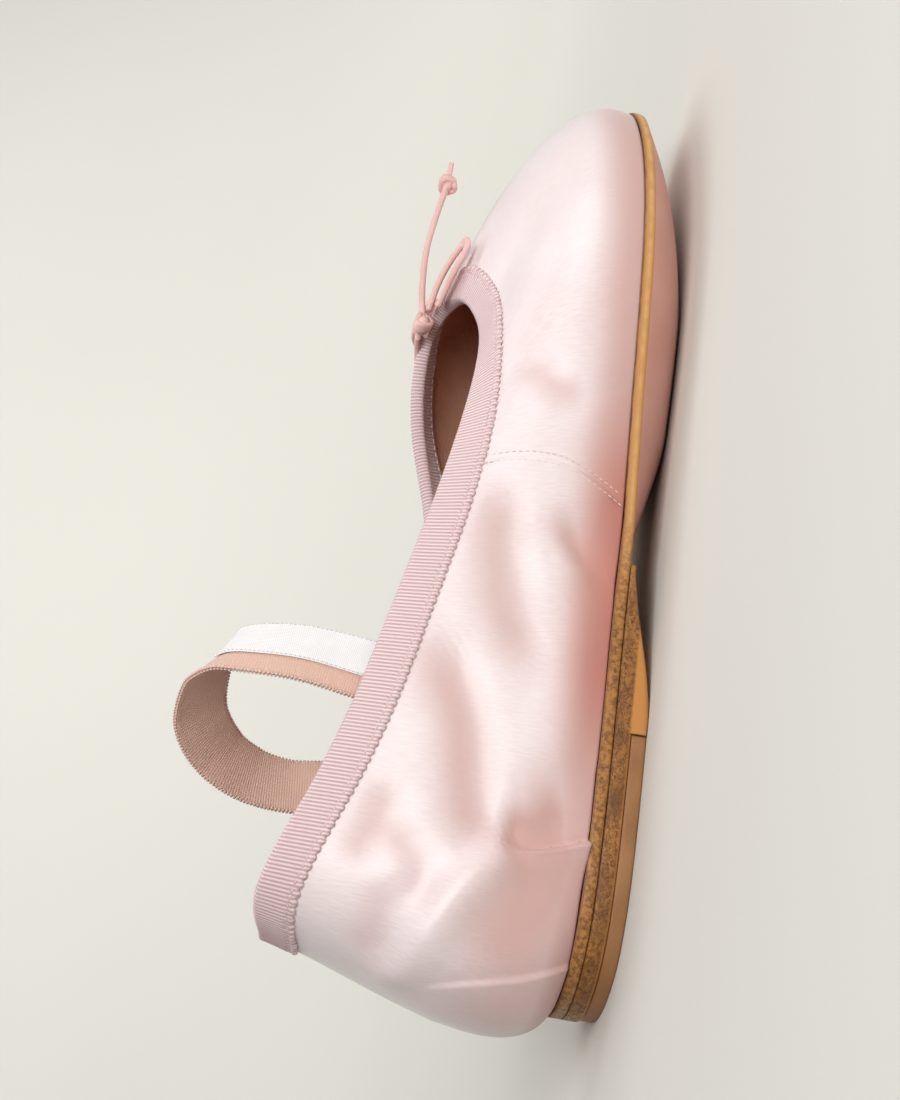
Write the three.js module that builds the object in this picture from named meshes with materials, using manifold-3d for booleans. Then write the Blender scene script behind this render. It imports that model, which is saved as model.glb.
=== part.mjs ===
// Ballet flat for the right foot: a satin upper on a thin leather sole with a low stacked heel,
// a ribbon-bound collar, a slack elastic instep strap and a bow of flat leather lace.
// Millimetres. +X runs to the toe, +Y to the inner side of the foot, +Z up, and the floor is z = 0.
// Stations are measured along X from the back of the sole.
import * as THREE from 'three';
import { mergeVertices } from 'three/addons/utils/BufferGeometryUtils.js';
import Module from 'manifold-3d';

const wasm = await Module();
wasm.setup();

// Driving dimensions
const HEEL_CENTRE = 29; // station of the part's origin, in the middle of the heel
const SEAM_GAP = 0.3; // clearance between pieces that meet
const SOLE_THICKNESS = 2.6;
const SOLE_ROUNDING = 24; // width of the margin over which the sole's underside turns up
const HEEL_INSET = 0.5; // heel stack and lift stand inside the sole's edge
const LIFT_HEIGHT = 3.4;
const LIFT_LENGTH = 59; // station of the lift's straight front edge
const STACK_LENGTH = 98; // station where the stack runs out under the waist
const UPPER_WALL = 1.6; // satin, interlining and leather lining together
const UPPER_INSET = 0.8; // the upper is turned in from the sole's edge
const INSOLE_THICKNESS = 1.5;
const INSOLE_INSET = 3.0;
const BINDING_OUTSIDE = 8.5; // depth of the ribbon on the outer face
const BINDING_INSIDE = 6.5;
const BINDING_THICKNESS = 0.7;
const STRAP_WIDTH = 14;
const STRAP_THICKNESS = 1.2;
const LABEL_WIDTH = 9; // it covers the strap's toe-side edge
const LABEL_THICKNESS = 0.6;
const LABEL_GAP = 0.5; // clearance over the twisted strap
const LACE_WIDTH = 3.6;
const LACE_THICKNESS = 1.8;

// Facet counts
const AROUND = 72; // sections round the upper
const LEVELS = 9; // steps from the sole to the collar
const SOLE_STATIONS = 36;
const STRAP_STEPS = 44;

// Underside of the outsole along the shoe: heel seat, arch, flat tread and toe spring in its middle,
// and the feather edge that the rounded margin climbs to
const SOLE_LINE = [
  // station, height in the middle, height at the edge
  [0, 7.2, 7.2],
  [60, 7.2, 7.2],
  [84, 7.3, 7.3],
  [104, 6.2, 7.5],
  [122, 2.4, 8.6],
  [138, 0, 9.8],
  [162, 0, 11.0],
  [182, 1.2, 11.5],
  [204, 3.8, 12.1],
  [225, 8.2, 13.2],
  [242, 12.9, 13.8],
];

// Underside of the heel stack in front of the lift: the ramp that dies out under the waist
const RAMP_LINE = [
  // station, height
  [0, 0.2],
  [63, 0.2],
  [72, 1.2],
  [82, 3.3],
  [91, 5.2],
  [98, 6.2],
];

// The last as ribs that climb from the sole's edge to the collar. Each rib is a cubic curve: it leaves
// the sole's edge towards a point lowOut outwards and lowUp above it, and reaches the collar from a
// point highOut outwards and highDown below it.
const RIB_COLUMNS = [
  'footX', 'footY', 'rimX', 'rimY', 'rimZ', 'lowOut', 'lowUp', 'highOut', 'highDown',
];
const RIBS = {
  heelBack: [3.6, 0, 12, 0, 73.6, 17, 8, 4, 18],
  heelCornerOuter: [11.5, -18.5, 16.3, -14.5, 75.6, 13, 11, 4, 19],
  heelSideOuter: [35, -26.5, 38, -23.5, 68, 6, 16, 3, 18],
  waistRearOuter: [76, -27.5, 76, -26.5, 58, 7, 15, 4, 15],
  waistFrontOuter: [117, -31.5, 112, -27.5, 50.6, 7, 15, 6, 12],
  ballOuter: [160, -40, 146, -21.5, 46, 6, 19, 10, 5],
  toeSideOuter: [207, -31, 166, -10.8, 47.6, 5, 18, 20, 7],
  toeCornerOuter: [230, -15.5, 173.5, -4.4, 50.8, 5, 15.5, 30, 6],
  toeTip: [239.5, 5, 176, 3, 54.4, 5, 14, 36, 5],
  toeCornerInner: [232, 23, 173.5, 9.6, 57.4, 5, 15.5, 30, 6],
  toeSideInner: [211, 34, 166.5, 15, 58.6, 5, 18, 20, 7],
  ballInner: [168, 37, 146, 23, 55.6, 6, 20, 10, 5],
  waistFrontInner: [122, 21.5, 112, 27, 48.6, 8, 17, 5, 12],
  waistRearInner: [80, 17.5, 76, 25, 58.4, 9, 17, 3, 14],
  heelSideInner: [36, 25, 38, 23, 66.4, 6, 16, 3, 18],
  heelCornerInner: [11.5, 18.5, 16.3, 14.5, 72.6, 13, 11, 4, 19],
};

// Route of the elastic strap, from the outer wall over a slack loop to the inner wall. Its width points
// to the toe, turned in plan by the heading and dipped by the lean.
const STRAP_ROUTE = [
  // x, y, z, heading and lean of the width in degrees
  [64.2, -27.1, 38, -3, 0],
  [64.5, -25.8, 46, -2, 0],
  [65, -22.9, 54, 0, 0],
  [65.9, -21.2, 61.4, 4, 0],
  [67, -20.3, 67.4, 8, 1],
  [67.8, -19.8, 75, 13, 4],
  [67.8, -18.6, 82.8, 18, 10],
  [67.6, -15.6, 90, 21, 22],
  [66.2, -12, 93, 22, 34],
  [64.4, -8, 94.6, 20, 42],
  [58.9, 1, 95.2, 20, 46],
  [55.9, 6, 93.2, 20, 44],
  [53.6, 11, 89.6, 20, 38],
  [52.3, 14, 86.2, 19, 30],
  [51.4, 18, 80, 18, 20],
  [51.4, 20.2, 73.2, 16, 12],
  [52, 20.4, 66.4, 8, 5],
  [52.6, 20.2, 60, 2, 2],
  [52.8, 22.2, 52, 0, 0],
  [53, 23.7, 45, -2, 0],
];
const LABEL_STEPS = [5, 17]; // steps of the strap's length that the label covers

// Routes of the lace bow at the throat
const BOW_KNOT = [170.5, 6, 59.4];
const BOW_KNOT_SIZE = [6.6, 5.6, 5.4];
const BOW_LOOP_OUTER = [
  // x, y, z
  [173.2, 3.2, 58.6],
  [179, 0, 57.6],
  [186, -3.6, 54.6],
  [190.5, -6.4, 52.0],
  [191, -9.4, 50.6],
  [187, -9.2, 51.2],
  [180.5, -5.6, 54.0],
  [173.2, 0.4, 56.6],
];
const BOW_LOOP_INNER = [
  [169.2, 9.2, 60.3],
  [168.4, 13.2, 61],
  [166.8, 17.6, 60.6],
  [164.4, 22.2, 58.8],
  [160.6, 26.4, 56.4],
  [155.2, 29.4, 54.2],
  [149.4, 31.6, 51.4],
  [144.2, 33, 48.6],
  [141, 34.4, 46.2],
  [142.4, 35.6, 44.4],
  [147.6, 35.6, 45.6],
  [154.4, 34.8, 48.6],
  [161.2, 33, 51.4],
  [167, 30, 53.6],
  [171.2, 25.6, 56.2],
  [172.6, 20.2, 58.8],
  [172.6, 15, 60.6],
  [172, 10.2, 60.8],
];
const BOW_END_OUTER = [
  [174.2, 6, 60],
  [181, 5, 61],
  [191, 4, 61.4],
  [201, 3.6, 60.4],
  [209, 3.8, 59.2],
  [212, 4, 58.8],
];
const BOW_END_INNER = [
  [174.4, 8.6, 59.8],
  [178.4, 12.4, 59],
  [182.2, 16.4, 57.8],
  [185, 20, 56.6],
];
const END_KNOT_RADIUS = 2.9;
const END_TAIL = 4.5; // lace that stands out past an end knot

// Curves

/** Smooth closed curve through one value per knot: a periodic cubic spline. */
function periodicSpline(knots, values, period) {
  const count = knots.length;
  const step = knots.map((k, i) => (i + 1 < count ? knots[i + 1] : period) - k);
  const slope = values.map((v, i) => (values[(i + 1) % count] - v) / step[i]);
  const bend = new Array(count).fill(0);
  const sweeps = 200;
  for (let sweep = 0; sweep < sweeps; sweep += 1) {
    for (let i = 0; i < count; i += 1) {
      const before = (i + count - 1) % count;
      const pull = step[before] * bend[before] + step[i] * bend[(i + 1) % count];
      bend[i] = (6 * (slope[i] - slope[before]) - pull) / (2 * (step[before] + step[i]));
    }
  }
  return (share) => {
    const s = (((share % 1) + 1) % 1) * period;
    let i = count - 1;
    while (knots[i] > s) i -= 1;
    const next = (i + 1) % count;
    const b = (s - knots[i]) / step[i];
    const a = 1 - b;
    const curved = (a ** 3 - a) * bend[i] + (b ** 3 - b) * bend[next];
    return a * values[i] + b * values[next] + (curved * step[i] ** 2) / 6;
  };
}

/** Curve through a table of [station, height] rows that never overshoots them. */
function levelLine(rows) {
  const last = rows.length - 1;
  const rise = rows.slice(1).map(([x, y], i) => (y - rows[i][1]) / (x - rows[i][0]));
  const tangent = rows.map((row, i) => {
    if (i === 0 || i === last) return 0;
    const product = rise[i - 1] * rise[i];
    return product > 0 ? (2 * product) / (rise[i - 1] + rise[i]) : 0;
  });
  return (x) => {
    const at = THREE.MathUtils.clamp(x, rows[0][0], rows[last][0]);
    let i = 0;
    while (i < last - 1 && rows[i + 1][0] < at) i += 1;
    const width = rows[i + 1][0] - rows[i][0];
    const t = (at - rows[i][0]) / width;
    const ease = t * t * (3 - 2 * t);
    const leave = t * (1 - t) ** 2 * width * tangent[i];
    const arrive = t * t * (t - 1) * width * tangent[i + 1];
    return rows[i][1] * (1 - ease) + rows[i + 1][1] * ease + leave + arrive;
  };
}

const rampUnderside = levelLine(RAMP_LINE);
const soleMiddle = levelLine(SOLE_LINE.map(([station, middle]) => [station, middle]));
const soleEdge = levelLine(SOLE_LINE.map(([station, , edge]) => [station, edge]));

/** Height of the sole's underside at a station and a depth in from the sole's edge. */
function soleUnderside(x, depth) {
  const turn = Math.max(0, 1 - depth / SOLE_ROUNDING) ** 2;
  return THREE.MathUtils.lerp(soleMiddle(x), soleEdge(x), turn);
}

const soleTop = (x, depth) => soleUnderside(x, depth) + SOLE_THICKNESS;

// Knots of the rib splines: distances along the sole's outline
const ribRows = Object.values(RIBS);
const ribKnots = [0];
ribRows.forEach(([x, y], i) => {
  const [nextX, nextY] = ribRows[(i + 1) % ribRows.length];
  ribKnots.push(ribKnots[i] + Math.hypot(nextX - x, nextY - y));
});
const outlineLength = ribKnots.pop();
const ribValue = Object.fromEntries(
  RIB_COLUMNS.map((column, c) => [
    column,
    periodicSpline(ribKnots, ribRows.map((row) => row[c]), outlineLength),
  ]),
);

/** Unit vector in plan that points out of a closed outline at a share of its way round. */
function outwards(columnX, columnY, share) {
  const step = 1e-4;
  const dx = ribValue[columnX](share + step) - ribValue[columnX](share - step);
  const dy = ribValue[columnY](share + step) - ribValue[columnY](share - step);
  return new THREE.Vector3(dy, -dx, 0).normalize();
}

/** Point of the sole's outline, moved inwards. */
function outlinePoint(share, inset) {
  const point = new THREE.Vector3(ribValue.footX(share), ribValue.footY(share), 0);
  return point.addScaledVector(outwards('footX', 'footY', share), -inset);
}

const ribCache = new Map();

/** Rib of the upper's outer face at a share of the way round, as a curve. */
function rib(share) {
  if (ribCache.has(share)) return ribCache.get(share);
  const value = (column) => ribValue[column](share);
  const up = new THREE.Vector3(0, 0, 1);
  const foot = outlinePoint(share, UPPER_INSET);
  foot.z = soleTop(foot.x, UPPER_INSET) + SEAM_GAP;
  const rim = new THREE.Vector3(value('rimX'), value('rimY'), value('rimZ'));
  const low = foot.clone()
    .addScaledVector(outwards('footX', 'footY', share), value('lowOut'))
    .addScaledVector(up, value('lowUp'));
  const high = rim.clone()
    .addScaledVector(outwards('rimX', 'rimY', share), value('highOut'))
    .addScaledVector(up, -value('highDown'));
  const curve = new THREE.CubicBezierCurve3(foot, low, high, rim);
  ribCache.set(share, curve);
  return curve;
}

/** Point of the upper at a share round and a level from sole (0) to collar (1), moved off its face. */
function upperPoint(share, level, offset = 0) {
  const step = 1e-3;
  const low = Math.max(level - step, 0);
  const high = Math.min(level + step, 1);
  const along = rib(share).getPointAt(high).sub(rib(share).getPointAt(low));
  const across = rib(share + step).getPointAt(level).sub(rib(share - step).getPointAt(level));
  const normal = across.cross(along).normalize();
  return rib(share).getPointAt(level).addScaledVector(normal, offset);
}

// Solids

/** Closed solid from sections with equal point counts; the sections may themselves close into a ring. */
function loft(sections, isRing = false) {
  const size = sections[0].length;
  const positions = sections.flat().flatMap((p) => [p.x, p.y, p.z]);
  const triangles = [];
  const spans = isRing ? sections.length : sections.length - 1;
  for (let s = 0; s < spans; s += 1) {
    const here = s * size;
    const there = ((s + 1) % sections.length) * size;
    for (let p = 0; p < size; p += 1) {
      const q = (p + 1) % size;
      triangles.push(here + p, here + q, there + q, here + p, there + q, there + p);
    }
  }
  if (!isRing) {
    const end = (sections.length - 1) * size;
    for (let p = 1; p < size - 1; p += 1) {
      triangles.push(0, p + 1, p, end, end + p, end + p + 1);
    }
  }
  const geometry = new THREE.BufferGeometry();
  geometry.setAttribute('position', new THREE.Float32BufferAttribute(positions, 3));
  geometry.setIndex(triangles);
  return toSolid(geometry);
}

/** Three.js geometry as a solid, with its faces turned outwards. */
function toSolid(geometry) {
  const bare = geometry.clone();
  bare.deleteAttribute('normal');
  bare.deleteAttribute('uv');
  const merged = mergeVertices(bare, 1e-3);
  const corners = merged.index.array;
  const kept = [];
  for (let i = 0; i < corners.length; i += 3) {
    const [a, b, c] = corners.slice(i, i + 3);
    if (a !== b && b !== c && c !== a) kept.push(a, b, c);
  }
  const build = (triVerts) => new wasm.Manifold(
    new wasm.Mesh({ numProp: 3, vertProperties: merged.attributes.position.array, triVerts }),
  );
  const solid = build(new Uint32Array(kept));
  return solid.volume() > 0 ? solid : build(new Uint32Array(kept.reverse()));
}

/** Solid as a named mesh with its own material. */
function piece(name, solid, material) {
  const { numProp, vertProperties, triVerts } = solid.getMesh();
  const interleaved = new THREE.InterleavedBuffer(vertProperties, numProp);
  const geometry = new THREE.BufferGeometry();
  geometry.setAttribute('position', new THREE.InterleavedBufferAttribute(interleaved, 3, 0));
  geometry.setIndex(new THREE.Uint32BufferAttribute(triVerts, 1));
  const mesh = new THREE.Mesh(geometry, new THREE.MeshStandardMaterial(material));
  mesh.name = name;
  return mesh;
}

/** Box between two corners. */
function boxSolid(low, high) {
  const size = high.map((h, i) => h - low[i]);
  const box = new THREE.BoxGeometry(...size);
  box.translate(...high.map((h, i) => (h + low[i]) / 2));
  return toSolid(box);
}

const ACROSS_SHARES = [0, 0.06, 0.13, 0.22, 0.35, 0.65, 0.78, 0.87, 0.94, 1];

/** Plate that follows the sole's outline from the heel to endShare of the way to the toe tip. */
function solePlate({ inset, endShare, underside, top }) {
  const toeShare = ribKnots[Object.keys(RIBS).indexOf('toeTip')] / outlineLength;
  const sections = [];
  for (let i = 0; i <= SOLE_STATIONS; i += 1) {
    const run = endShare * (0.5 - 0.5 * Math.cos((Math.PI * i) / SOLE_STATIONS));
    const outer = outlinePoint(run * toeShare, inset);
    const inner = outlinePoint(1 - run * (1 - toeShare), inset);
    const row = ACROSS_SHARES.map((w) => outer.clone().lerp(inner, w));
    const depths = ACROSS_SHARES.map((w) => inset + Math.min(w, 1 - w) * outer.distanceTo(inner));
    const lower = row.map((p, j) => p.clone().setZ(underside(p.x, depths[j])));
    const upper = row.map((p, j) => p.clone().setZ(top(p.x, depths[j])));
    sections.push([...lower, ...upper.reverse()]);
  }
  return loft(sections);
}

/** Leather outsole: a bent sheet, flat under the ball of the foot and rounded up at its margin. */
function outsole() {
  return solePlate({ inset: 0, endShare: 1, underside: soleUnderside, top: soleTop });
}

/** Share of the sole's length, along its outline, at which the plates of the heel stop. */
const HEEL_END_SHARE = 0.46;

/** Stacked heel over the lift, with a ramp in front that dies out under the waist. */
function heelStack() {
  const blank = solePlate({
    inset: HEEL_INSET,
    endShare: HEEL_END_SHARE,
    underside: rampUnderside,
    top: (x, depth) => soleUnderside(x, depth) - SEAM_GAP,
  });
  const reach = 100;
  const overRamp = blank.intersect(boxSolid([-reach, -reach, -1], [STACK_LENGTH, reach, reach]));
  const liftRoom = LIFT_HEIGHT + SEAM_GAP;
  const notch = boxSolid([-reach, -reach, -1], [LIFT_LENGTH + SEAM_GAP, reach, liftRoom]);
  return overRamp.subtract(notch);
}

/** Top piece that the heel stands on. */
function heelLift() {
  const blank = solePlate({
    inset: HEEL_INSET,
    endShare: HEEL_END_SHARE,
    underside: () => 0,
    top: () => LIFT_HEIGHT,
  });
  const reach = 100;
  return blank.intersect(boxSolid([-reach, -reach, -1], [LIFT_LENGTH, reach, reach]));
}

/** Leather sock that covers the inside of the sole. */
function insole() {
  return solePlate({
    inset: INSOLE_INSET,
    endShare: 1,
    underside: (x, depth) => soleTop(x, depth) + SEAM_GAP,
    top: (x, depth) => soleTop(x, depth) + SEAM_GAP + INSOLE_THICKNESS,
  });
}

const roundShares = Array.from({ length: AROUND }, (_, i) => i / AROUND);

/** Hollow upper: one wall from the sole's edge to the collar, open above and below. */
function upper() {
  const levels = Array.from({ length: LEVELS + 1 }, (_, i) => i / LEVELS);
  return loft(
    roundShares.map((share) => {
      const outside = levels.map((level) => upperPoint(share, level));
      const inside = levels.map((level) => upperPoint(share, level, -UPPER_WALL));
      return [...outside, ...inside.reverse()];
    }),
    true,
  );
}

/** Ribbon folded over the collar's edge, cut between two skins of the upper. */
function collarBinding() {
  const section = (share) => {
    const length = rib(share).getLength();
    const level = (depth) => 1 - depth / length;
    const outside = [BINDING_OUTSIDE, BINDING_OUTSIDE / 2, 0];
    const inside = [0, BINDING_INSIDE / 2, BINDING_INSIDE];
    const near = SEAM_GAP;
    const far = SEAM_GAP + BINDING_THICKNESS;
    const raised = rib(share).getTangentAt(1);
    const face = (depths, offset, lift) => depths.map((depth) => {
      const point = upperPoint(share, level(depth), offset);
      return depth === 0 ? point.addScaledVector(raised, lift) : point;
    });
    return [
      ...face(outside, far, near),
      upperPoint(share, 1, near).addScaledVector(raised, far),
      upperPoint(share, 1, -UPPER_WALL - near).addScaledVector(raised, far),
      ...face(inside, -UPPER_WALL - far, near),
      ...face(inside.toReversed(), -UPPER_WALL - near, near),
      ...face(outside.toReversed(), near, near),
    ];
  };
  return loft(roundShares.map(section), true);
}

/** Sections of a flat band on the strap's route, from one of its steps to another. */
function bandSections({ fromStep, toStep, width, thickness, shift, lift }) {
  const points = STRAP_ROUTE.map(([x, y, z]) => new THREE.Vector3(x, y, z));
  const path = new THREE.CatmullRomCurve3(points);
  const last = STRAP_ROUTE.length - 1;
  return Array.from({ length: toStep - fromStep + 1 }, (_, i) => {
    const share = (fromStep + i) / STRAP_STEPS;
    const t = path.getUtoTmapping(share) * last;
    const row = Math.min(Math.floor(t), last - 1);
    const [heading, lean] = [3, 4].map((column) => THREE.MathUtils.degToRad(
      THREE.MathUtils.lerp(STRAP_ROUTE[row][column], STRAP_ROUTE[row + 1][column], t - row),
    ));
    const tangent = path.getTangentAt(share);
    const level = Math.cos(lean);
    const wide = new THREE.Vector3(level * Math.cos(heading), level * Math.sin(heading), -Math.sin(lean));
    wide.addScaledVector(tangent, -wide.dot(tangent)).normalize();
    const out = new THREE.Vector3().crossVectors(wide, tangent);
    const corner = (w, h) => path.getPointAt(share)
      .addScaledVector(wide, shift + (w * width) / 2)
      .addScaledVector(out, lift + (h * thickness) / 2);
    return [corner(-1, -1), corner(1, -1), corner(1, 1), corner(-1, 1)];
  });
}

/** Slack elastic strap over the instep, sewn inside both walls of the collar. */
function strap() {
  return loft(bandSections({
    fromStep: 0,
    toStep: STRAP_STEPS,
    width: STRAP_WIDTH,
    thickness: STRAP_THICKNESS,
    shift: 0,
    lift: 0,
  }));
}

/** Blank woven label on the outer face of the strap. */
function strapLabel() {
  return loft(bandSections({
    fromStep: LABEL_STEPS[0],
    toStep: LABEL_STEPS[1],
    width: LABEL_WIDTH,
    thickness: LABEL_THICKNESS,
    shift: (STRAP_WIDTH - LABEL_WIDTH) / 2,
    lift: STRAP_THICKNESS / 2 + LABEL_THICKNESS / 2 + LABEL_GAP,
  }));
}

/** Flat lace along a route: an oval section that keeps its width level. */
function lace(route) {
  const path = new THREE.CatmullRomCurve3(route.map((point) => new THREE.Vector3(...point)));
  const stepLength = 3;
  const steps = Math.ceil(path.getLength() / stepLength);
  const sides = 8;
  const sections = Array.from({ length: steps + 1 }, (_, i) => {
    const tangent = path.getTangentAt(i / steps);
    const wide = new THREE.Vector3(0, 0, 1).cross(tangent).normalize();
    const out = tangent.clone().cross(wide);
    return Array.from({ length: sides }, (__, s) => {
      const angle = (2 * Math.PI * (s + 0.5)) / sides;
      return path.getPointAt(i / steps)
        .addScaledVector(wide, (LACE_WIDTH / 2) * Math.cos(angle))
        .addScaledVector(out, (LACE_THICKNESS / 2) * Math.sin(angle));
    });
  });
  return loft(sections);
}

/** Rounded lump of a pulled knot. */
function knot(centre, size) {
  const widthSteps = 12;
  const heightSteps = 8;
  const ball = new THREE.SphereGeometry(0.5, widthSteps, heightSteps);
  ball.scale(...size);
  ball.translate(...centre);
  return toSolid(ball);
}

/** Free end of the lace with an overhand knot and a short tail. */
function laceEnd(route) {
  const [before, tip] = route.slice(-2).map((point) => new THREE.Vector3(...point));
  const ahead = tip.clone().sub(before).normalize();
  const tail = tip.clone().addScaledVector(ahead, END_KNOT_RADIUS + END_TAIL);
  const size = new Array(3).fill(2 * END_KNOT_RADIUS);
  return lace([...route, tail.toArray()]).add(knot(tip.toArray(), size));
}

// Materials
const SATIN = { color: 0xf0d9d6, roughness: 0.32, metalness: 0 };
const RIBBON = { color: 0xdcbcc2, roughness: 0.6, metalness: 0 };
const SOLE_LEATHER = { color: 0xc08a4f, roughness: 0.6, metalness: 0 };
const STACK_LEATHER = { color: 0xa06a35, roughness: 0.65, metalness: 0 };
const LIFT_RUBBER = { color: 0x8f7258, roughness: 0.7, metalness: 0 };
const LINING_LEATHER = { color: 0x9c6f5c, roughness: 0.7, metalness: 0 };
const ELASTIC = { color: 0xc79a86, roughness: 0.8, metalness: 0 };
const WHITE_WEAVE = { color: 0xefedec, roughness: 0.8, metalness: 0 };
const LACE_LEATHER = { color: 0xdcaaa2, roughness: 0.55, metalness: 0 };

const shoe = new THREE.Group();
shoe.position.x = -HEEL_CENTRE;
shoe.add(
  piece('outsole', outsole(), SOLE_LEATHER),
  piece('heel_stack', heelStack(), STACK_LEATHER),
  piece('heel_lift', heelLift(), LIFT_RUBBER),
  piece('insole', insole(), LINING_LEATHER),
  piece('upper', upper(), SATIN),
  piece('collar_binding', collarBinding(), RIBBON),
  piece('instep_strap', strap(), ELASTIC),
  piece('strap_label', strapLabel(), WHITE_WEAVE),
  piece('bow_knot', knot(BOW_KNOT, BOW_KNOT_SIZE), LACE_LEATHER),
  piece('bow_loop_outer', lace(BOW_LOOP_OUTER), LACE_LEATHER),
  piece('bow_loop_inner', lace(BOW_LOOP_INNER), LACE_LEATHER),
  piece('bow_end_outer', laceEnd(BOW_END_OUTER), LACE_LEATHER),
  piece('bow_end_inner', laceEnd(BOW_END_INNER), LACE_LEATHER),
);

const part = new THREE.Group();
part.add(shoe);
export default part;
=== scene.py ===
"""Ballet flat for the right foot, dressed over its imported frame.

A pale pink satin upper on a thin leather sole with a low stacked heel, a grosgrain ribbon round the
collar, a slack knitted elastic over the instep and a bow of stitched flat lace at the throat.
Sizes are in millimetres. Stations run along X from just behind the sole, +Y is the inner side of the
foot and +Z is up, as in the part's source; pieces are moved to the part's origin when they are made.
"""

import logging
import math
from collections.abc import Callable
from dataclasses import dataclass, field, replace
from enum import Enum

import bpy
import numpy as np
from mathutils import Matrix


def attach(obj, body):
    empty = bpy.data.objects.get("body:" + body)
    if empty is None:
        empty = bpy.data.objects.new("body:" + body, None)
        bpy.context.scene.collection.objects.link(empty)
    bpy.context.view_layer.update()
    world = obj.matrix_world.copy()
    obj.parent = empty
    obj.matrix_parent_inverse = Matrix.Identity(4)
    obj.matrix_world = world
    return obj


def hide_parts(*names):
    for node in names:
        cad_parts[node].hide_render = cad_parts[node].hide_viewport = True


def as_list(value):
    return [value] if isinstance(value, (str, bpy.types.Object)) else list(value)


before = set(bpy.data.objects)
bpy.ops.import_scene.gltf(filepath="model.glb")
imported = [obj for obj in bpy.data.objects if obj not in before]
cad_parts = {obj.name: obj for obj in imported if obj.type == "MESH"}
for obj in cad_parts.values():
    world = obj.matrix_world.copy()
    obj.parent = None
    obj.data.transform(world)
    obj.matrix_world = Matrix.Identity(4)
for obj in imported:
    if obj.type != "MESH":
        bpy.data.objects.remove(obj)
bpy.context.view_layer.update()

LOG = logging.getLogger("ballet_flat")

MM = 0.001
HEEL_CENTRE = 29.0  # station of the part's origin
BODY = "root"
# layer of painted shade on the shaded flanks of the satin's creases
SHADE_LAYER = "fold_shade"
WEAVE_LAYER = "weave"
WAVE_PER_UNIT = 2 * math.pi / 20  # scale at which a wave texture has one band per unit
ROUTE_STEPS = 24  # steps of a smooth route from one given point to the next
UP = np.array([0.0, 0.0, 1.0])

Array = np.ndarray
Colour = tuple[float, float, float]
Point = tuple[float, float, float]
Place = tuple[float, float]
Heights = Callable[[Array, Array], Array]
Socket = bpy.types.NodeSocket


class FoldKind(Enum):
    """How a crease of the satin lies."""

    TROUGH = "trough"
    RIDGE = "ridge"
    LAP = "lap"


class Source(Enum):
    """Where a finish takes its texture coordinates from."""

    OBJECT = "Object"
    WEAVE = "weave"


# Small tools


def linear(colour: Colour) -> tuple[float, float, float, float]:
    """Turn an 8-bit display colour into the linear colour that shaders take.

    Args:
        colour: red, green and blue from 0 to 255.

    Returns:
        Linear red, green and blue, and full opacity.
    """
    parts = []
    for part in colour:
        share = part / 255
        parts.append(share / 12.92 if share <= 0.04045 else ((share + 0.055) / 1.055) ** 2.4)
    return (*parts, 1.0)


def unit(vectors: Array) -> Array:
    """Scale vectors to length one."""
    return vectors / np.maximum(np.linalg.norm(vectors, axis=-1, keepdims=True), 1e-12)


def run_length(points: Array) -> Array:
    """Distance along a line of points, from its start to each of them."""
    return np.concatenate([[0.0], np.cumsum(np.linalg.norm(np.diff(points, axis=0), axis=1))])


def to_part(points: Array) -> Array:
    """Move points from stations in millimetres to the part's frame in metres."""
    return (np.asarray(points, float) - [HEEL_CENTRE, 0.0, 0.0]) * MM


def ease(share: Array) -> Array:
    """Smooth step from 0 to 1 that is level at both ends."""
    return share * share * (3 - 2 * share)


def bell(away: Array, width: float) -> Array:
    """Soft hump of height one."""
    return np.exp(-((away / width) ** 2))


def crowded(count: int) -> Array:
    """Shares from 0 to 1 that crowd towards both ends."""
    return 0.5 - 0.5 * np.cos(np.linspace(0, math.pi, count))


def rounded_off(from_edge: Array, radius: float, edge_share: float) -> Array:
    """Share of the full thickness near an edge that is rounded off."""
    return edge_share + (1 - edge_share) * np.sqrt(np.clip(from_edge / radius, 0, 1))


def smooth_route(points: Array, count: int) -> Array:
    """Draw a smooth curve through points and divide it evenly.

    Args:
        points: the points that the curve passes.
        count: how many evenly spaced points to return.

    Returns:
        Points along the curve, the first and last being those given.
    """
    rows = np.asarray(points, float)
    ends = np.vstack([2 * rows[0] - rows[1], rows, 2 * rows[-1] - rows[-2]])
    share = np.linspace(0, 1, ROUTE_STEPS, endpoint=False)[:, None]
    drawn = []
    for i in range(len(rows) - 1):
        before, here, there, after = ends[i:i + 4]
        gaps = np.sqrt(np.linalg.norm(np.diff(ends[i:i + 4], axis=0), axis=1))
        leave = (here - before) / gaps[0] - (there - before) / (gaps[0] + gaps[1])
        leave = (leave + (there - here) / gaps[1]) * gaps[1]
        arrive = (there - here) / gaps[1] - (after - here) / (gaps[1] + gaps[2])
        arrive = (arrive + (after - there) / gaps[2]) * gaps[1]
        square, cube = share**2, share**3
        drawn.append(
            here + leave * share
            + (3 * (there - here) - 2 * leave - arrive) * square
            + (2 * (here - there) + leave + arrive) * cube
        )
    curve = np.vstack([*drawn, rows[-1:]])
    along = run_length(curve)
    wanted = np.linspace(0, along[-1], count)
    return np.stack([np.interp(wanted, along, curve[:, k]) for k in range(curve.shape[1])], axis=1)


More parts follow.
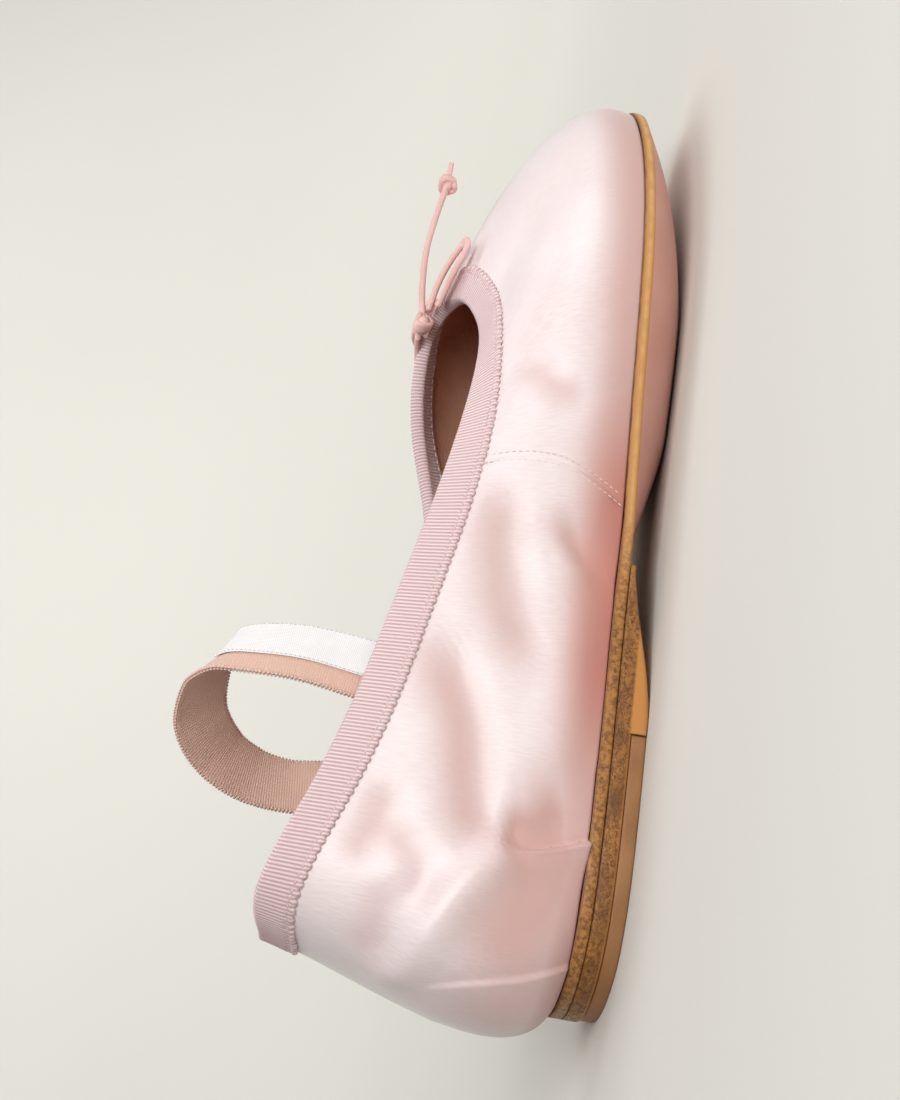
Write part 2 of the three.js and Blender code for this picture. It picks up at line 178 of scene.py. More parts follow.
def level_line(rows: Array, stations: Array) -> Array:
    """Read a height table with a curve that never overshoots it.

    Args:
        rows: station and height pairs.
        stations: where to read.

    Returns:
        Heights at the stations.
    """
    at, height = rows[:, 0], rows[:, 1]
    rise = np.diff(height) / np.diff(at)
    tangent = np.zeros(len(rows))
    product = rise[:-1] * rise[1:]
    total = np.where(product > 0, rise[:-1] + rise[1:], 1.0)
    tangent[1:-1] = np.where(product > 0, 2 * product / total, 0.0)
    x = np.clip(stations, at[0], at[-1])
    i = np.clip(np.searchsorted(at, x) - 1, 0, len(rows) - 2)
    width = at[i + 1] - at[i]
    t = (x - at[i]) / width
    eased = ease(t)
    leave = t * (1 - t) ** 2 * width * tangent[i]
    arrive = t * t * (t - 1) * width * tangent[i + 1]
    return height[i] * (1 - eased) + height[i + 1] * eased + leave + arrive


class ClosedSpline:
    """Smooth closed curve through one row of values per knot."""

    def __init__(self, knots: Array, values: Array, period: float) -> None:
        """Solve the curve's bends.

        Args:
            knots: distance of each row round the loop.
            values: one row of values per knot.
            period: length of the whole loop.
        """
        self.knots, self.values, self.period = knots, values, period
        self.step = np.diff(np.append(knots, period))
        slope = (np.roll(values, -1, axis=0) - values) / self.step[:, None]
        count = len(knots)
        system = np.zeros((count, count))
        for i in range(count):
            system[i, i - 1] += self.step[i - 1]
            system[i, i] += 2 * (self.step[i - 1] + self.step[i])
            system[i, (i + 1) % count] += self.step[i]
        self.bend = np.linalg.solve(system, 6 * (slope - np.roll(slope, 1, axis=0)))

    def __call__(self, shares: Array) -> Array:
        """Read the rows at shares of the way round.

        Args:
            shares: shares of the loop, any real numbers.

        Returns:
            One row of values per share.
        """
        s = (np.asarray(shares, float) % 1.0) * self.period
        i = np.clip(np.searchsorted(self.knots, s, side="right") - 1, 0, len(self.knots) - 1)
        j = (i + 1) % len(self.knots)
        b = ((s - self.knots[i]) / self.step[i])[:, None]
        a = 1 - b
        curved = (a**3 - a) * self.bend[i] + (b**3 - b) * self.bend[j]
        return a * self.values[i] + b * self.values[j] + curved * self.step[i][:, None] ** 2 / 6


# The last


@dataclass
class Last:
    """Form that the shoe is made on: the sole's line, and ribs that climb from its edge to the collar."""

    seam_gap: float = 0.3
    sole_thickness: float = 2.6
    sole_rounding: float = 24.0
    upper_inset: float = 0.8
    curve_steps: int = 97
    scale_steps: int = 1201
    sole_line: Array = field(default_factory=lambda: np.array([
        # station, height in the middle, height at the edge
        [0, 7.2, 7.2], [60, 7.2, 7.2], [84, 7.3, 7.3], [104, 6.2, 7.5], [122, 2.4, 8.6], [138, 0, 9.8],
        [162, 0, 11.0], [182, 1.2, 11.5], [204, 3.8, 12.1], [225, 8.2, 13.2], [242, 12.9, 13.8],
    ], float))
    ribs: Array = field(default_factory=lambda: np.array([
        # foot x, y, rim x, y, z, low out, low up, high out, high down
        [3.6, 0, 12, 0, 73.6, 17, 8, 4, 18],
        [11.5, -18.5, 16.3, -14.5, 75.6, 13, 11, 4, 19],
        [35, -26.5, 38, -23.5, 68, 6, 16, 3, 18],
        [76, -27.5, 76, -26.5, 58, 7, 15, 4, 15],
        [117, -31.5, 112, -27.5, 50.6, 7, 15, 6, 12],
        [160, -40, 146, -21.5, 46, 6, 19, 10, 5],
        [207, -31, 166, -10.8, 47.6, 5, 18, 20, 7],
        [230, -15.5, 173.5, -4.4, 50.8, 5, 15.5, 30, 6],
        [239.5, 5, 176, 3, 54.4, 5, 14, 36, 5],
        [232, 23, 173.5, 9.6, 57.4, 5, 15.5, 30, 6],
        [211, 34, 166.5, 15, 58.6, 5, 18, 20, 7],
        [168, 37, 146, 23, 55.6, 6, 20, 10, 5],
        [122, 21.5, 112, 27, 48.6, 8, 17, 5, 12],
        [80, 17.5, 76, 25, 58.4, 9, 17, 3, 14],
        [36, 25, 38, 23, 66.4, 6, 16, 3, 18],
        [11.5, 18.5, 16.3, 14.5, 72.6, 13, 11, 4, 19],
    ], float))

    def __post_init__(self) -> None:
        """Prepare the spline of the ribs and the scale round the sole's edge."""
        feet = np.vstack([self.ribs[:, :2], self.ribs[:1, :2]])
        knots = run_length(feet)
        self.spline = ClosedSpline(knots[:-1], self.ribs, knots[-1])
        self.scale_shares = np.linspace(0, 1, self.scale_steps)
        self.scale_round = run_length(self.points(self.scale_shares, np.zeros((self.scale_steps, 1)))[:, 0])

    @property
    def perimeter(self) -> float:
        """Length of the upper's lower edge."""
        return float(self.scale_round[-1])

    def underside(self, stations: Array, depths: Array) -> Array:
        """Height of the sole's underside.

        Args:
            stations: where to read it.
            depths: distances in from the sole's edge.

        Returns:
            Heights.
        """
        turn = np.maximum(0, 1 - depths / self.sole_rounding) ** 2
        middle = level_line(self.sole_line[:, [0, 1]], stations)
        return middle + (level_line(self.sole_line[:, [0, 2]], stations) - middle) * turn

    def outwards(self, shares: Array, column: int) -> Array:
        """Unit vectors in plan that point out of a loop of the ribs.

        Args:
            shares: shares of the way round.
            column: first of the two columns of the ribs that hold the loop.

        Returns:
            One vector per share.
        """
        step = 1e-4
        run = self.spline(shares + step)[:, column:column + 2] - self.spline(shares - step)[:, column:column + 2]
        return unit(np.stack([run[:, 1], -run[:, 0], np.zeros(len(run))], axis=1))

    def outline(self, shares: Array, inset: float) -> Array:
        """Points of the sole's outline in plan, moved inwards.

        Args:
            shares: shares of the way round.
            inset: how far the points are moved.

        Returns:
            Points at height 0.
        """
        feet = np.zeros((len(shares), 3))
        feet[:, :2] = self.spline(shares)[:, :2]
        return feet - inset * self.outwards(shares, 0)

    def controls(self, shares: Array) -> Array:
        """Corner points of the rib curves.

        Args:
            shares: shares of the way round from the heel's back over the outer side.

        Returns:
            Four points per share: foot, low, high and rim.
        """
        row = self.spline(shares)
        foot = self.outline(shares, self.upper_inset)
        lowest = self.underside(foot[:, 0], np.full(len(foot), self.upper_inset))
        foot[:, 2] = lowest + self.sole_thickness + self.seam_gap
        rim = row[:, 2:5]
        low = foot + self.outwards(shares, 0) * row[:, 5:6] + UP * row[:, 6:7]
        high = rim + self.outwards(shares, 2) * row[:, 7:8] - UP * row[:, 8:9]
        return np.stack([foot, low, high, rim], axis=1)

    def points(self, shares: Array, levels: Array) -> Array:
        """Points of the upper's outer face.

        Args:
            shares: shares of the way round, one per column.
            levels: for each column, shares of the rib's length from the sole to the collar.

        Returns:
            Points as an array of columns by levels.
        """
        corners = self.controls(shares)
        t = np.linspace(0, 1, self.curve_steps)
        drawn = np.einsum("tk,skx->stx", self.blend(t), corners)
        along = np.cumsum(np.linalg.norm(np.diff(drawn, axis=1), axis=2), axis=1)
        along = np.concatenate([np.zeros((len(shares), 1)), along], axis=1)
        along /= along[:, -1:]
        at = np.stack([np.interp(levels[s], along[s], t) for s in range(len(shares))])
        return np.einsum("slk,skx->slx", self.blend(at), corners)

    @staticmethod
    def blend(t: Array) -> Array:
        """Weights of a cubic curve's four corner points."""
        return np.stack([(1 - t) ** 3, 3 * t * (1 - t) ** 2, 3 * t * t * (1 - t), t**3], axis=-1)

    def lengths(self, shares: Array) -> Array:
        """Length of the rib at each share."""
        drawn = np.einsum("tk,skx->stx", self.blend(np.linspace(0, 1, self.curve_steps)), self.controls(shares))
        return np.linalg.norm(np.diff(drawn, axis=1), axis=2).sum(axis=1)

    def normals(self, shares: Array, levels: Array) -> Array:
        """Unit normals of the upper's outer face.

        Args:
            shares: shares of the way round, one per column.
            levels: for each column, shares of the rib's length from the sole to the collar.

        Returns:
            Normals as an array of columns by levels.
        """
        step = 1e-3
        higher, lower = np.minimum(levels + step, 1), np.maximum(levels - step, 0)
        along = self.points(shares, higher) - self.points(shares, lower)
        across = self.points(shares + step, levels) - self.points(shares - step, levels)
        return unit(np.cross(across, along))

    def rises(self, shares: Array) -> Array:
        """Unit directions in which the ribs reach the rim."""
        corners = self.controls(shares)
        return unit(corners[:, 3] - corners[:, 2])

    def share_at(self, rounds: Array) -> Array:
        """Shares at distances round the sole's edge, negative ones over the inner side."""
        return np.interp(np.asarray(rounds, float) % self.perimeter, self.scale_round, self.scale_shares)

    def place(self, route: Array) -> tuple[Array, Array]:
        """Turn places on the upper into shares and levels.

        Args:
            route: rows of millimetres round the sole's edge and millimetres up from it.

        Returns:
            Shares, and levels with one column.
        """
        shares = self.share_at(route[:, 0])
        return shares, (route[:, 1] / self.lengths(shares))[:, None]

    def on_face(self, route: Array, lift: float = 0.0) -> tuple[Array, Array]:
        """Points and normals of the outer face along a route.

        Args:
            route: rows of millimetres round the sole's edge and millimetres up from it.
            lift: how far the points stand off the face.

        Returns:
            Points and normals.
        """
        shares, levels = self.place(route)
        normals = self.normals(shares, levels)[:, 0]
        return self.points(shares, levels)[:, 0] + normals * lift, normals


# Finishes


class NodeBench:
    """Lays out the nodes of one procedural material."""

    def __init__(self, name: str, **constants: float | tuple) -> None:
        """Start a material.

        Args:
            name: the material's name.
            constants: values set on the shader's own sockets, with _ for a space.
        """
        self.material = bpy.data.materials.new(name)
        self.material.use_nodes = True
        self.tree = self.material.node_tree
        self.shader = self.tree.nodes["Principled BSDF"]
        for key, value in constants.items():
            self.shader.inputs[key.replace("_", " ")].default_value = value

    def node(self, kind: str, sockets: dict, **settings: str | float | bool) -> bpy.types.Node:
        """Add a node.

        Args:
            kind: Blender's name of the node without its ShaderNode prefix.
            sockets: values or links for its inputs, by name or index.
            settings: the node's own options.

        Returns:
            The node.
        """
        made = self.tree.nodes.new("ShaderNode" + kind)
        for key, value in settings.items():
            setattr(made, key, value)
        for key, value in sockets.items():
            if isinstance(value, Socket):
                self.tree.links.new(value, made.inputs[key])
            else:
                made.inputs[key].default_value = value
        return made

    def place(self, source: Source, scale: Point = (1, 1, 1)) -> Socket:
        """Texture coordinates, stretched: the weave layer is in millimetres, the object's own in metres.

        Args:
            source: where they come from.
            scale: how far they are stretched.

        Returns:
            The coordinates.
        """
        if source is Source.WEAVE:
            start = self.node("UVMap", {}, uv_map=WEAVE_LAYER).outputs["UV"]
        else:
            start = self.node("TexCoord", {}).outputs["Object"]
        return self.node("Mapping", {"Vector": start, "Scale": scale}).outputs["Vector"]

    def noise(self, vector: Socket, scale: float, detail: float = 2.0) -> Socket:
        """Soft noise."""
        return self.node("TexNoise", {"Vector": vector, "Scale": scale, "Detail": detail}).outputs["Fac"]

    def cells(self, vector: Socket, scale: float) -> Socket:
        """Distance to the borders of a field of cells."""
        sockets = {"Vector": vector, "Scale": scale}
        return self.node("TexVoronoi", sockets, feature="DISTANCE_TO_EDGE").outputs["Distance"]

    def bands(self, vector: Socket, direction: str, per_unit: float = 1.0) -> Socket:
        """Even bands across one direction of the coordinates."""
        sockets = {"Vector": vector, "Scale": WAVE_PER_UNIT * per_unit, "Distortion": 0.0}
        return self.node("TexWave", sockets, wave_type="BANDS", bands_direction=direction).outputs["Fac"]

    def ramp(self, factor: Socket, stops: list[tuple[float, Colour]]) -> Socket:
        """Colours picked by a factor.

        Args:
            factor: what picks the colour.
            stops: position and colour of each stop.

        Returns:
            The colour.
        """
        made = self.node("ValToRGB", {"Fac": factor})
        elements = made.color_ramp.elements
        while len(elements) < len(stops):
            elements.new(0.5)
        for element, (position, colour) in zip(elements, stops):
            element.position = position
            element.color = linear(colour)
        return made.outputs["Color"]

    def mix(self, factor: float | Socket, first: Socket | tuple, second: Socket | tuple) -> Socket:
        """Mix two colours."""
        return self.node("Mix", {0: factor, 6: first, 7: second}, data_type="RGBA").outputs[2]

    def maths(self, operation: str, first: Socket | float, second: Socket | float) -> Socket:
        """Combine two numbers."""
        return self.node("Math", {0: first, 1: second}, operation=operation).outputs[0]

    def span(self, value: Socket, low: float, high: float, to_low: float = 0.0, to_high: float = 1.0) -> Socket:
        """Map a range of a number to another, smoothly and clamped."""
        sockets = {"Value": value, "From Min": low, "From Max": high, "To Min": to_low, "To Max": to_high}
        return self.node("MapRange", sockets, interpolation_type="SMOOTHSTEP").outputs["Result"]

    def axes(self, vector: Socket) -> list[Socket]:
        """The three parts of a vector."""
        return list(self.node("SeparateXYZ", {"Vector": vector}).outputs)

    def finish(self, colour: Socket, height: Socket, relief: float,
               roughness: Socket | None = None) -> bpy.types.Material:
        """Join colour, relief and gloss to the shader.

        Args:
            colour: base colour.
            height: height of the fine relief from 0 to 1.
            relief: depth of that relief in millimetres.
            roughness: roughness where it varies.

        Returns:
            The finished material.
        """
        bump = self.node("Bump", {"Height": height, "Distance": relief * MM, "Strength": 1.0})
        self.tree.links.new(bump.outputs["Normal"], self.shader.inputs["Normal"])
        self.tree.links.new(colour, self.shader.inputs["Base Color"])
        if roughness is not None:
            self.tree.links.new(roughness, self.shader.inputs["Roughness"])
        return self.material


@dataclass(frozen=True)
class SatinFinish:
    """Pale pink satin: fine warp floats that catch the light across them; painted shade in creases and near the
    sole.
    """

    name: str = "pale_pink_satin"
    light: Colour = (239, 226, 228)
    deep: Colour = (232, 214, 214)
    # painted shade, laid on the creases' shaded flanks and on the cloth near the sole
    shade: Colour = (206, 164, 157)
    # painted shade with a reddish painted reflection, along the sole over the waist
    sole_bounce_shade: Colour = (203, 135, 123)
    thread: Colour = (252, 244, 246)
    thread_share: float = 0.35
    tone_scale: float = 45.0
    sole_shade_height: float = 17.0  # height above the sole at which the painted shade towards it ends
    sole_shade_share: float = 0.9
    # stretch in metres along X where the painted reflection near the sole shows
    waist: tuple[tuple[float, float], tuple[float, float]] = ((0.012, 0.045), (0.112, 0.08))
    floats: Point = (2.3, 0.3, 1.0)
    relief: float = 0.04

    def material(self) -> bpy.types.Material:
        """Build the finish.

        Returns:
            The material.
        """
        bench = NodeBench(
            self.name, Roughness=0.4, Specular_IOR_Level=0.65, Sheen_Weight=0.4, Sheen_Roughness=0.4,
            Anisotropic=0.4,
        )
        cloth = bench.place(Source.OBJECT)
        tone = bench.noise(cloth, self.tone_scale, 3)
        thread = bench.noise(bench.place(Source.WEAVE, self.floats), 1.0, 3)
        colour = bench.ramp(tone, [(0.3, self.deep), (0.7, self.light)])
        tint = bench.span(thread, 0.3, 0.75, 0.0, self.thread_share)
        colour = bench.mix(tint, colour, linear(self.thread))
        # painted shade: the fold layer darkens the creases' shaded flanks, and the cloth darkens towards the sole
        painted_fold_shade = bench.node("Attribute", {}, attribute_name=SHADE_LAYER).outputs["Fac"]
        low = bench.span(bench.axes(bench.place(Source.WEAVE))[1], 0.0, self.sole_shade_height, 1.0, 0.0)
        x = bench.axes(cloth)[0]
        waist = bench.maths("MULTIPLY", bench.span(x, *self.waist[0]), bench.span(x, *self.waist[1]))
        sole_shade = bench.span(low, 0.0, 1.0, 0.0, self.sole_shade_share)
        colour = bench.mix(bench.maths("MAXIMUM", painted_fold_shade, sole_shade), colour, linear(self.shade))
        # painted shade and reddish painted reflection near the sole, over the waist only
        colour = bench.mix(bench.maths("MULTIPLY", low, waist), colour, linear(self.sole_bounce_shade))
        rough = bench.span(thread, 0.25, 0.75, 0.36, 0.46)
        return bench.finish(colour, thread, self.relief, rough)


@dataclass(frozen=True)
class RibbonFinish:
    """Dusty pink grosgrain: cords across the ribbon with a painted highlight, and painted shade in the lines
    between them.
    """

    name: str = "dusty_pink_grosgrain"
    # painted highlight along the cords, then painted shade in the lines between them
    cord: Colour = (236, 218, 218)
    painted_groove_shade: Colour = (198, 161, 165)
    thread: Colour = (232, 212, 213)
    thread_share: float = 0.22
    threads: Point = (3.0, 5.0, 1.0)
    relief: float = 0.05

    def material(self) -> bpy.types.Material:
        """Build the finish.

        Returns:
            The material.
        """
        bench = NodeBench(self.name, Roughness=0.62, Specular_IOR_Level=0.3, Sheen_Weight=0.3)
        weave = bench.place(Source.WEAVE)
        cord = bench.bands(weave, "X")
        thread = bench.noise(bench.place(Source.WEAVE, self.threads), 1.0, 2)
        # the cords get a painted highlight and the lines between them painted shade
        colour = bench.ramp(cord, [(0.2, self.painted_groove_shade), (0.9, self.cord)])
        tint = bench.span(thread, 0.35, 0.7, 0.0, self.thread_share)
        colour = bench.mix(tint, colour, linear(self.thread))
        return bench.finish(colour, thread, self.relief)


@dataclass(frozen=True)
class LeatherFinish:
    """Smooth leather with fine grain and soft changes of tone."""

    name: str
    light: Colour
    deep: Colour
    tone_scale: float = 70.0
    grain_scale: float = 900.0
    relief: float = 0.04
    roughness: float = 0.55

    def material(self) -> bpy.types.Material:
        """Build the finish.

        Returns:
            The material.
        """
        bench = NodeBench(self.name, Roughness=self.roughness, Specular_IOR_Level=0.35)
        hide = bench.place(Source.OBJECT)
        tone = bench.noise(hide, self.tone_scale, 4)
        grain = bench.cells(hide, self.grain_scale)
        colour = bench.ramp(tone, [(0.3, self.deep), (0.68, self.light)])
        height = bench.span(grain, 0.0, 0.35)
        low, high = self.roughness - 0.07, self.roughness + 0.08
        return bench.finish(colour, height, self.relief, bench.span(tone, 0.3, 0.7, low, high))


@dataclass(frozen=True)
class SoleFinish:
    """Underside of the outsole: nude pink under the forefoot, brown under the waist."""

    name: str = "nude_sole_leather"
    nude: Colour = (226, 174, 160)
    nude_deep: Colour = (214, 156, 142)
    waist: Colour = (138, 92, 68)
    change: tuple[float, float] = (0.062, 0.088)
    tone_scale: float = 60.0
    grain_scale: float = 800.0
    relief: float = 0.03

    def material(self) -> bpy.types.Material:
        """Build the finish.

        Returns:
            The material.
        """
        bench = NodeBench(self.name, Roughness=0.5, Specular_IOR_Level=0.4)
        hide = bench.place(Source.OBJECT)
        tone = bench.noise(hide, self.tone_scale, 4)
        colour = bench.ramp(tone, [(0.3, self.nude_deep), (0.7, self.nude)])
        front = bench.span(bench.axes(hide)[0], *self.change)
        colour = bench.mix(front, linear(self.waist), colour)
        grain = bench.cells(hide, self.grain_scale)
        return bench.finish(colour, grain, self.relief, bench.span(tone, 0.3, 0.7, 0.44, 0.56))


@dataclass(frozen=True)
class StackFinish:
    """Cut edges of stacked leather: tan with dark flecks and cracks, smooth on the ramp in front."""

    name: str = "mottled_stack_leather"
    tan: Colour = (176, 120, 58)
    brown: Colour = (120, 76, 38)
    crack: Colour = (72, 46, 28)
    smooth: Colour = (198, 138, 74)
    smooth_below: tuple[float, float] = (0.0034, 0.0042)
    smooth_front: tuple[float, float] = (0.056, 0.084)
    stretch: Point = (0.8, 0.8, 1.2)
    warp: float = 0.0025
    tone_scale: float = 130.0
    fleck_scale: float = 1100.0
    crack_scale: float = 1250.0
    relief: float = 0.12

    def material(self) -> bpy.types.Material:
        """Build the finish.

        Returns:
            The material.
        """
        bench = NodeBench(self.name, Roughness=0.45, Specular_IOR_Level=0.4)
        hide = bench.place(Source.OBJECT, self.stretch)
        drift = bench.node("TexNoise", {"Vector": hide, "Scale": self.fleck_scale}).outputs["Color"]
        warped = bench.mix(self.warp, hide, drift)
        tone = bench.noise(hide, self.tone_scale, 5)
        flecks = bench.noise(warped, self.fleck_scale, 5)
        cracks = bench.cells(warped, self.crack_scale)
        colour = bench.ramp(tone, [(0.36, self.brown), (0.6, self.tan)])
        colour = bench.mix(bench.span(flecks, 0.38, 0.6, 0.0, 0.75), colour, linear(self.brown))
        broken = bench.maths("MULTIPLY", bench.span(cracks, 0.11, 0.02), bench.span(flecks, 0.38, 0.58, 0.3, 0.9))
        colour = bench.mix(broken, colour, linear(self.crack))
        x, _, z = bench.axes(bench.place(Source.OBJECT))
        below = bench.span(z, *self.smooth_below, 1.0, 0.0)
        front = bench.span(x, *self.smooth_front)
        calm = bench.maths("MAXIMUM", below, front)
        colour = bench.mix(calm, colour, linear(self.smooth))
        height = bench.maths("MULTIPLY", cracks, bench.maths("SUBTRACT", 1.0, calm))
        return bench.finish(colour, height, self.relief, bench.span(flecks, 0.4, 0.7, 0.38, 0.6))


@dataclass(frozen=True)
class EdgeFinish:
    """Trimmed edge of the outsole: tan with a paler core, mottled where it passes the heel."""

    name: str = "tan_sole_edge"
    tan: Colour = (192, 136, 76)
    core: Colour = (216, 168, 108)
    worn: Colour = (172, 118, 60)
    brown: Colour = (126, 82, 40)
    crack: Colour = (88, 57, 32)
    mottled: tuple[float, float] = (0.05, 0.088)
    tone_scale: float = 260.0
    fleck_scale: float = 1000.0
    crack_scale: float = 1150.0
    relief: float = 0.05

    def material(self) -> bpy.types.Material:
        """Build the finish.

        Returns:
            The material.
        """
        bench = NodeBench(self.name, Roughness=0.45, Specular_IOR_Level=0.45)
        hide = bench.place(Source.OBJECT)
        thick = bench.axes(bench.place(Source.WEAVE))[1]
        tone = bench.noise(hide, self.tone_scale, 4)
        flecks = bench.noise(hide, self.fleck_scale, 5)
        cracks = bench.cells(hide, self.crack_scale)
        core = bench.ramp(thick, [(0.05, self.tan), (0.45, self.core), (0.75, self.tan), (0.97, self.brown)])
        colour = bench.mix(bench.span(tone, 0.35, 0.7, 0.0, 0.5), core, linear(self.tan))
        rear = bench.span(bench.axes(hide)[0], *self.mottled, 1.0, 0.0)
        colour = bench.mix(bench.span(rear, 0.0, 1.0, 0.0, 0.8), colour, linear(self.worn))
        spots = bench.maths("MULTIPLY", bench.span(flecks, 0.38, 0.62, 0.05, 0.75), rear)
        colour = bench.mix(spots, colour, linear(self.brown))
        broken = bench.maths("MULTIPLY", bench.span(cracks, 0.11, 0.02), spots)
        colour = bench.mix(broken, colour, linear(self.crack))
        return bench.finish(colour, flecks, self.relief, bench.span(tone, 0.3, 0.7, 0.4, 0.56))


@dataclass(frozen=True)
class ElasticFinish:
    """Nude knitted elastic: fine wales along the band."""

    name: str = "nude_knitted_elastic"
    light: Colour = (234, 200, 184)
    deep: Colour = (214, 172, 154)
    wales_per_mm: float = 2.2
    courses_per_mm: float = 1.7
    fuzz: Point = (2.4, 2.4, 1.0)
    relief: float = 0.12

    def material(self) -> bpy.types.Material:
        """Build the finish.

        Returns:
            The material.
        """
        bench = NodeBench(self.name, Roughness=0.75, Specular_IOR_Level=0.25, Sheen_Weight=0.3)
        knit = bench.place(Source.WEAVE)
        wales = bench.bands(knit, "Y", self.wales_per_mm)
        courses = bench.bands(knit, "X", self.courses_per_mm)
        loops = bench.maths("MULTIPLY", wales, courses)
        fuzz = bench.noise(bench.place(Source.WEAVE, self.fuzz), 1.0, 3)
        colour = bench.ramp(loops, [(0.0, self.deep), (0.5, self.light)])
        colour = bench.mix(bench.span(fuzz, 0.35, 0.7, 0.0, 0.35), colour, linear(self.light))
        return bench.finish(colour, loops, self.relief)


@dataclass(frozen=True)
class WovenFinish:
    """Plain weave of one colour, for the blank label and for sewing thread."""

    name: str
    light: Colour
    deep: Colour
    threads_per_mm: float = 2.4
    tone_scale: float = 400.0
    relief: float = 0.06

    def material(self) -> bpy.types.Material:
        """Build the finish.

        Returns:
            The material.
        """
        bench = NodeBench(self.name, Roughness=0.7, Specular_IOR_Level=0.25, Sheen_Weight=0.2)
        weave = bench.place(Source.WEAVE)
        over = bench.bands(weave, "X", self.threads_per_mm)
        under = bench.bands(weave, "Y", self.threads_per_mm)
        height = bench.maths("MAXIMUM", over, under)
        soft = bench.noise(bench.place(Source.OBJECT), self.tone_scale, 3)
        colour = bench.ramp(height, [(0.45, self.deep), (0.95, self.light)])
        colour = bench.mix(bench.span(soft, 0.35, 0.7, 0.0, 0.3), colour, linear(self.light))
        return bench.finish(colour, height, self.relief)


class Finishes:
    """The finishes of the whole shoe, each made once."""

    def __init__(self) -> None:
        """Make every material."""
        self.satin = SatinFinish().material()
        self.ribbon = RibbonFinish().material()
        self.lining = LeatherFinish("brown_lining_leather", (204, 154, 130), (184, 134, 110)).material()
        self.sock = LeatherFinish("nude_sock_leather", (186, 138, 116), (168, 118, 98)).material()
        self.sole = SoleFinish().material()
        self.edge = EdgeFinish().material()
        self.stack = StackFinish().material()
        self.lift = LeatherFinish(
            "brown_lift_rubber", (168, 122, 80), (148, 104, 66), grain_scale=1500, relief=0.02, roughness=0.5,
        ).material()
        self.elastic = ElasticFinish().material()
        self.label = WovenFinish("white_label_weave", (246, 245, 245), (222, 221, 223)).material()
        self.lace = LeatherFinish(
            "pink_lace_leather", (236, 198, 192), (224, 180, 173), grain_scale=1400, relief=0.03,
        ).material()
        self.pink_thread = WovenFinish("pink_thread", (244, 222, 216), (230, 200, 192), 4.0).material()
        self.mauve_thread = WovenFinish("mauve_thread", (244, 222, 224), (224, 190, 195), 4.0).material()
        self.label_thread = WovenFinish("label_thread", (226, 220, 218), (198, 190, 188), 4.0).material()
        self.nude_thread = WovenFinish("nude_thread", (242, 214, 200), (218, 180, 162), 4.0).material()


# Making meshes


def quads(rows: int, columns: int, wrap_rows: bool = False, wrap_columns: bool = False) -> Array:
    """Corner indices of the faces of a grid of points.

    Args:
        rows: number of rows.
        columns: points in a row.
        wrap_rows: whether the last row joins the first.
        wrap_columns: whether the last point of a row joins its first.

    Returns:
        Four indices per face.
    """
    r = np.arange(rows if wrap_rows else rows - 1)[:, None]
    c = np.arange(columns if wrap_columns else columns - 1)[None, :]
    there, beside = (r + 1) % rows, (c + 1) % columns
    corners = [r * columns + c, there * columns + c, there * columns + beside, r * columns + beside]
    return np.stack(np.broadcast_arrays(*corners), axis=-1).reshape(-1, 4)


def add_object(name: str, data: bpy.types.ID) -> bpy.types.Object:
    """Make an object and link it to the scene.

    Args:
        name: the object's name.
        data: its mesh, camera or light.

    Returns:
        The object.
    """
    made = bpy.data.objects.new(name, data)
    bpy.context.collection.objects.link(made)
    return made


def turn_to(made: bpy.types.Object, place: Array, right: Array, up: Array) -> None:
    """Place an object, with its X to the right and its Y up, so that it looks along its -Z."""
    turn = Matrix([[*row] for row in np.stack([right, up, np.cross(right, up)], axis=1)]).to_4x4()
    made.matrix_world = Matrix.Translation([float(part) for part in place]) @ turn


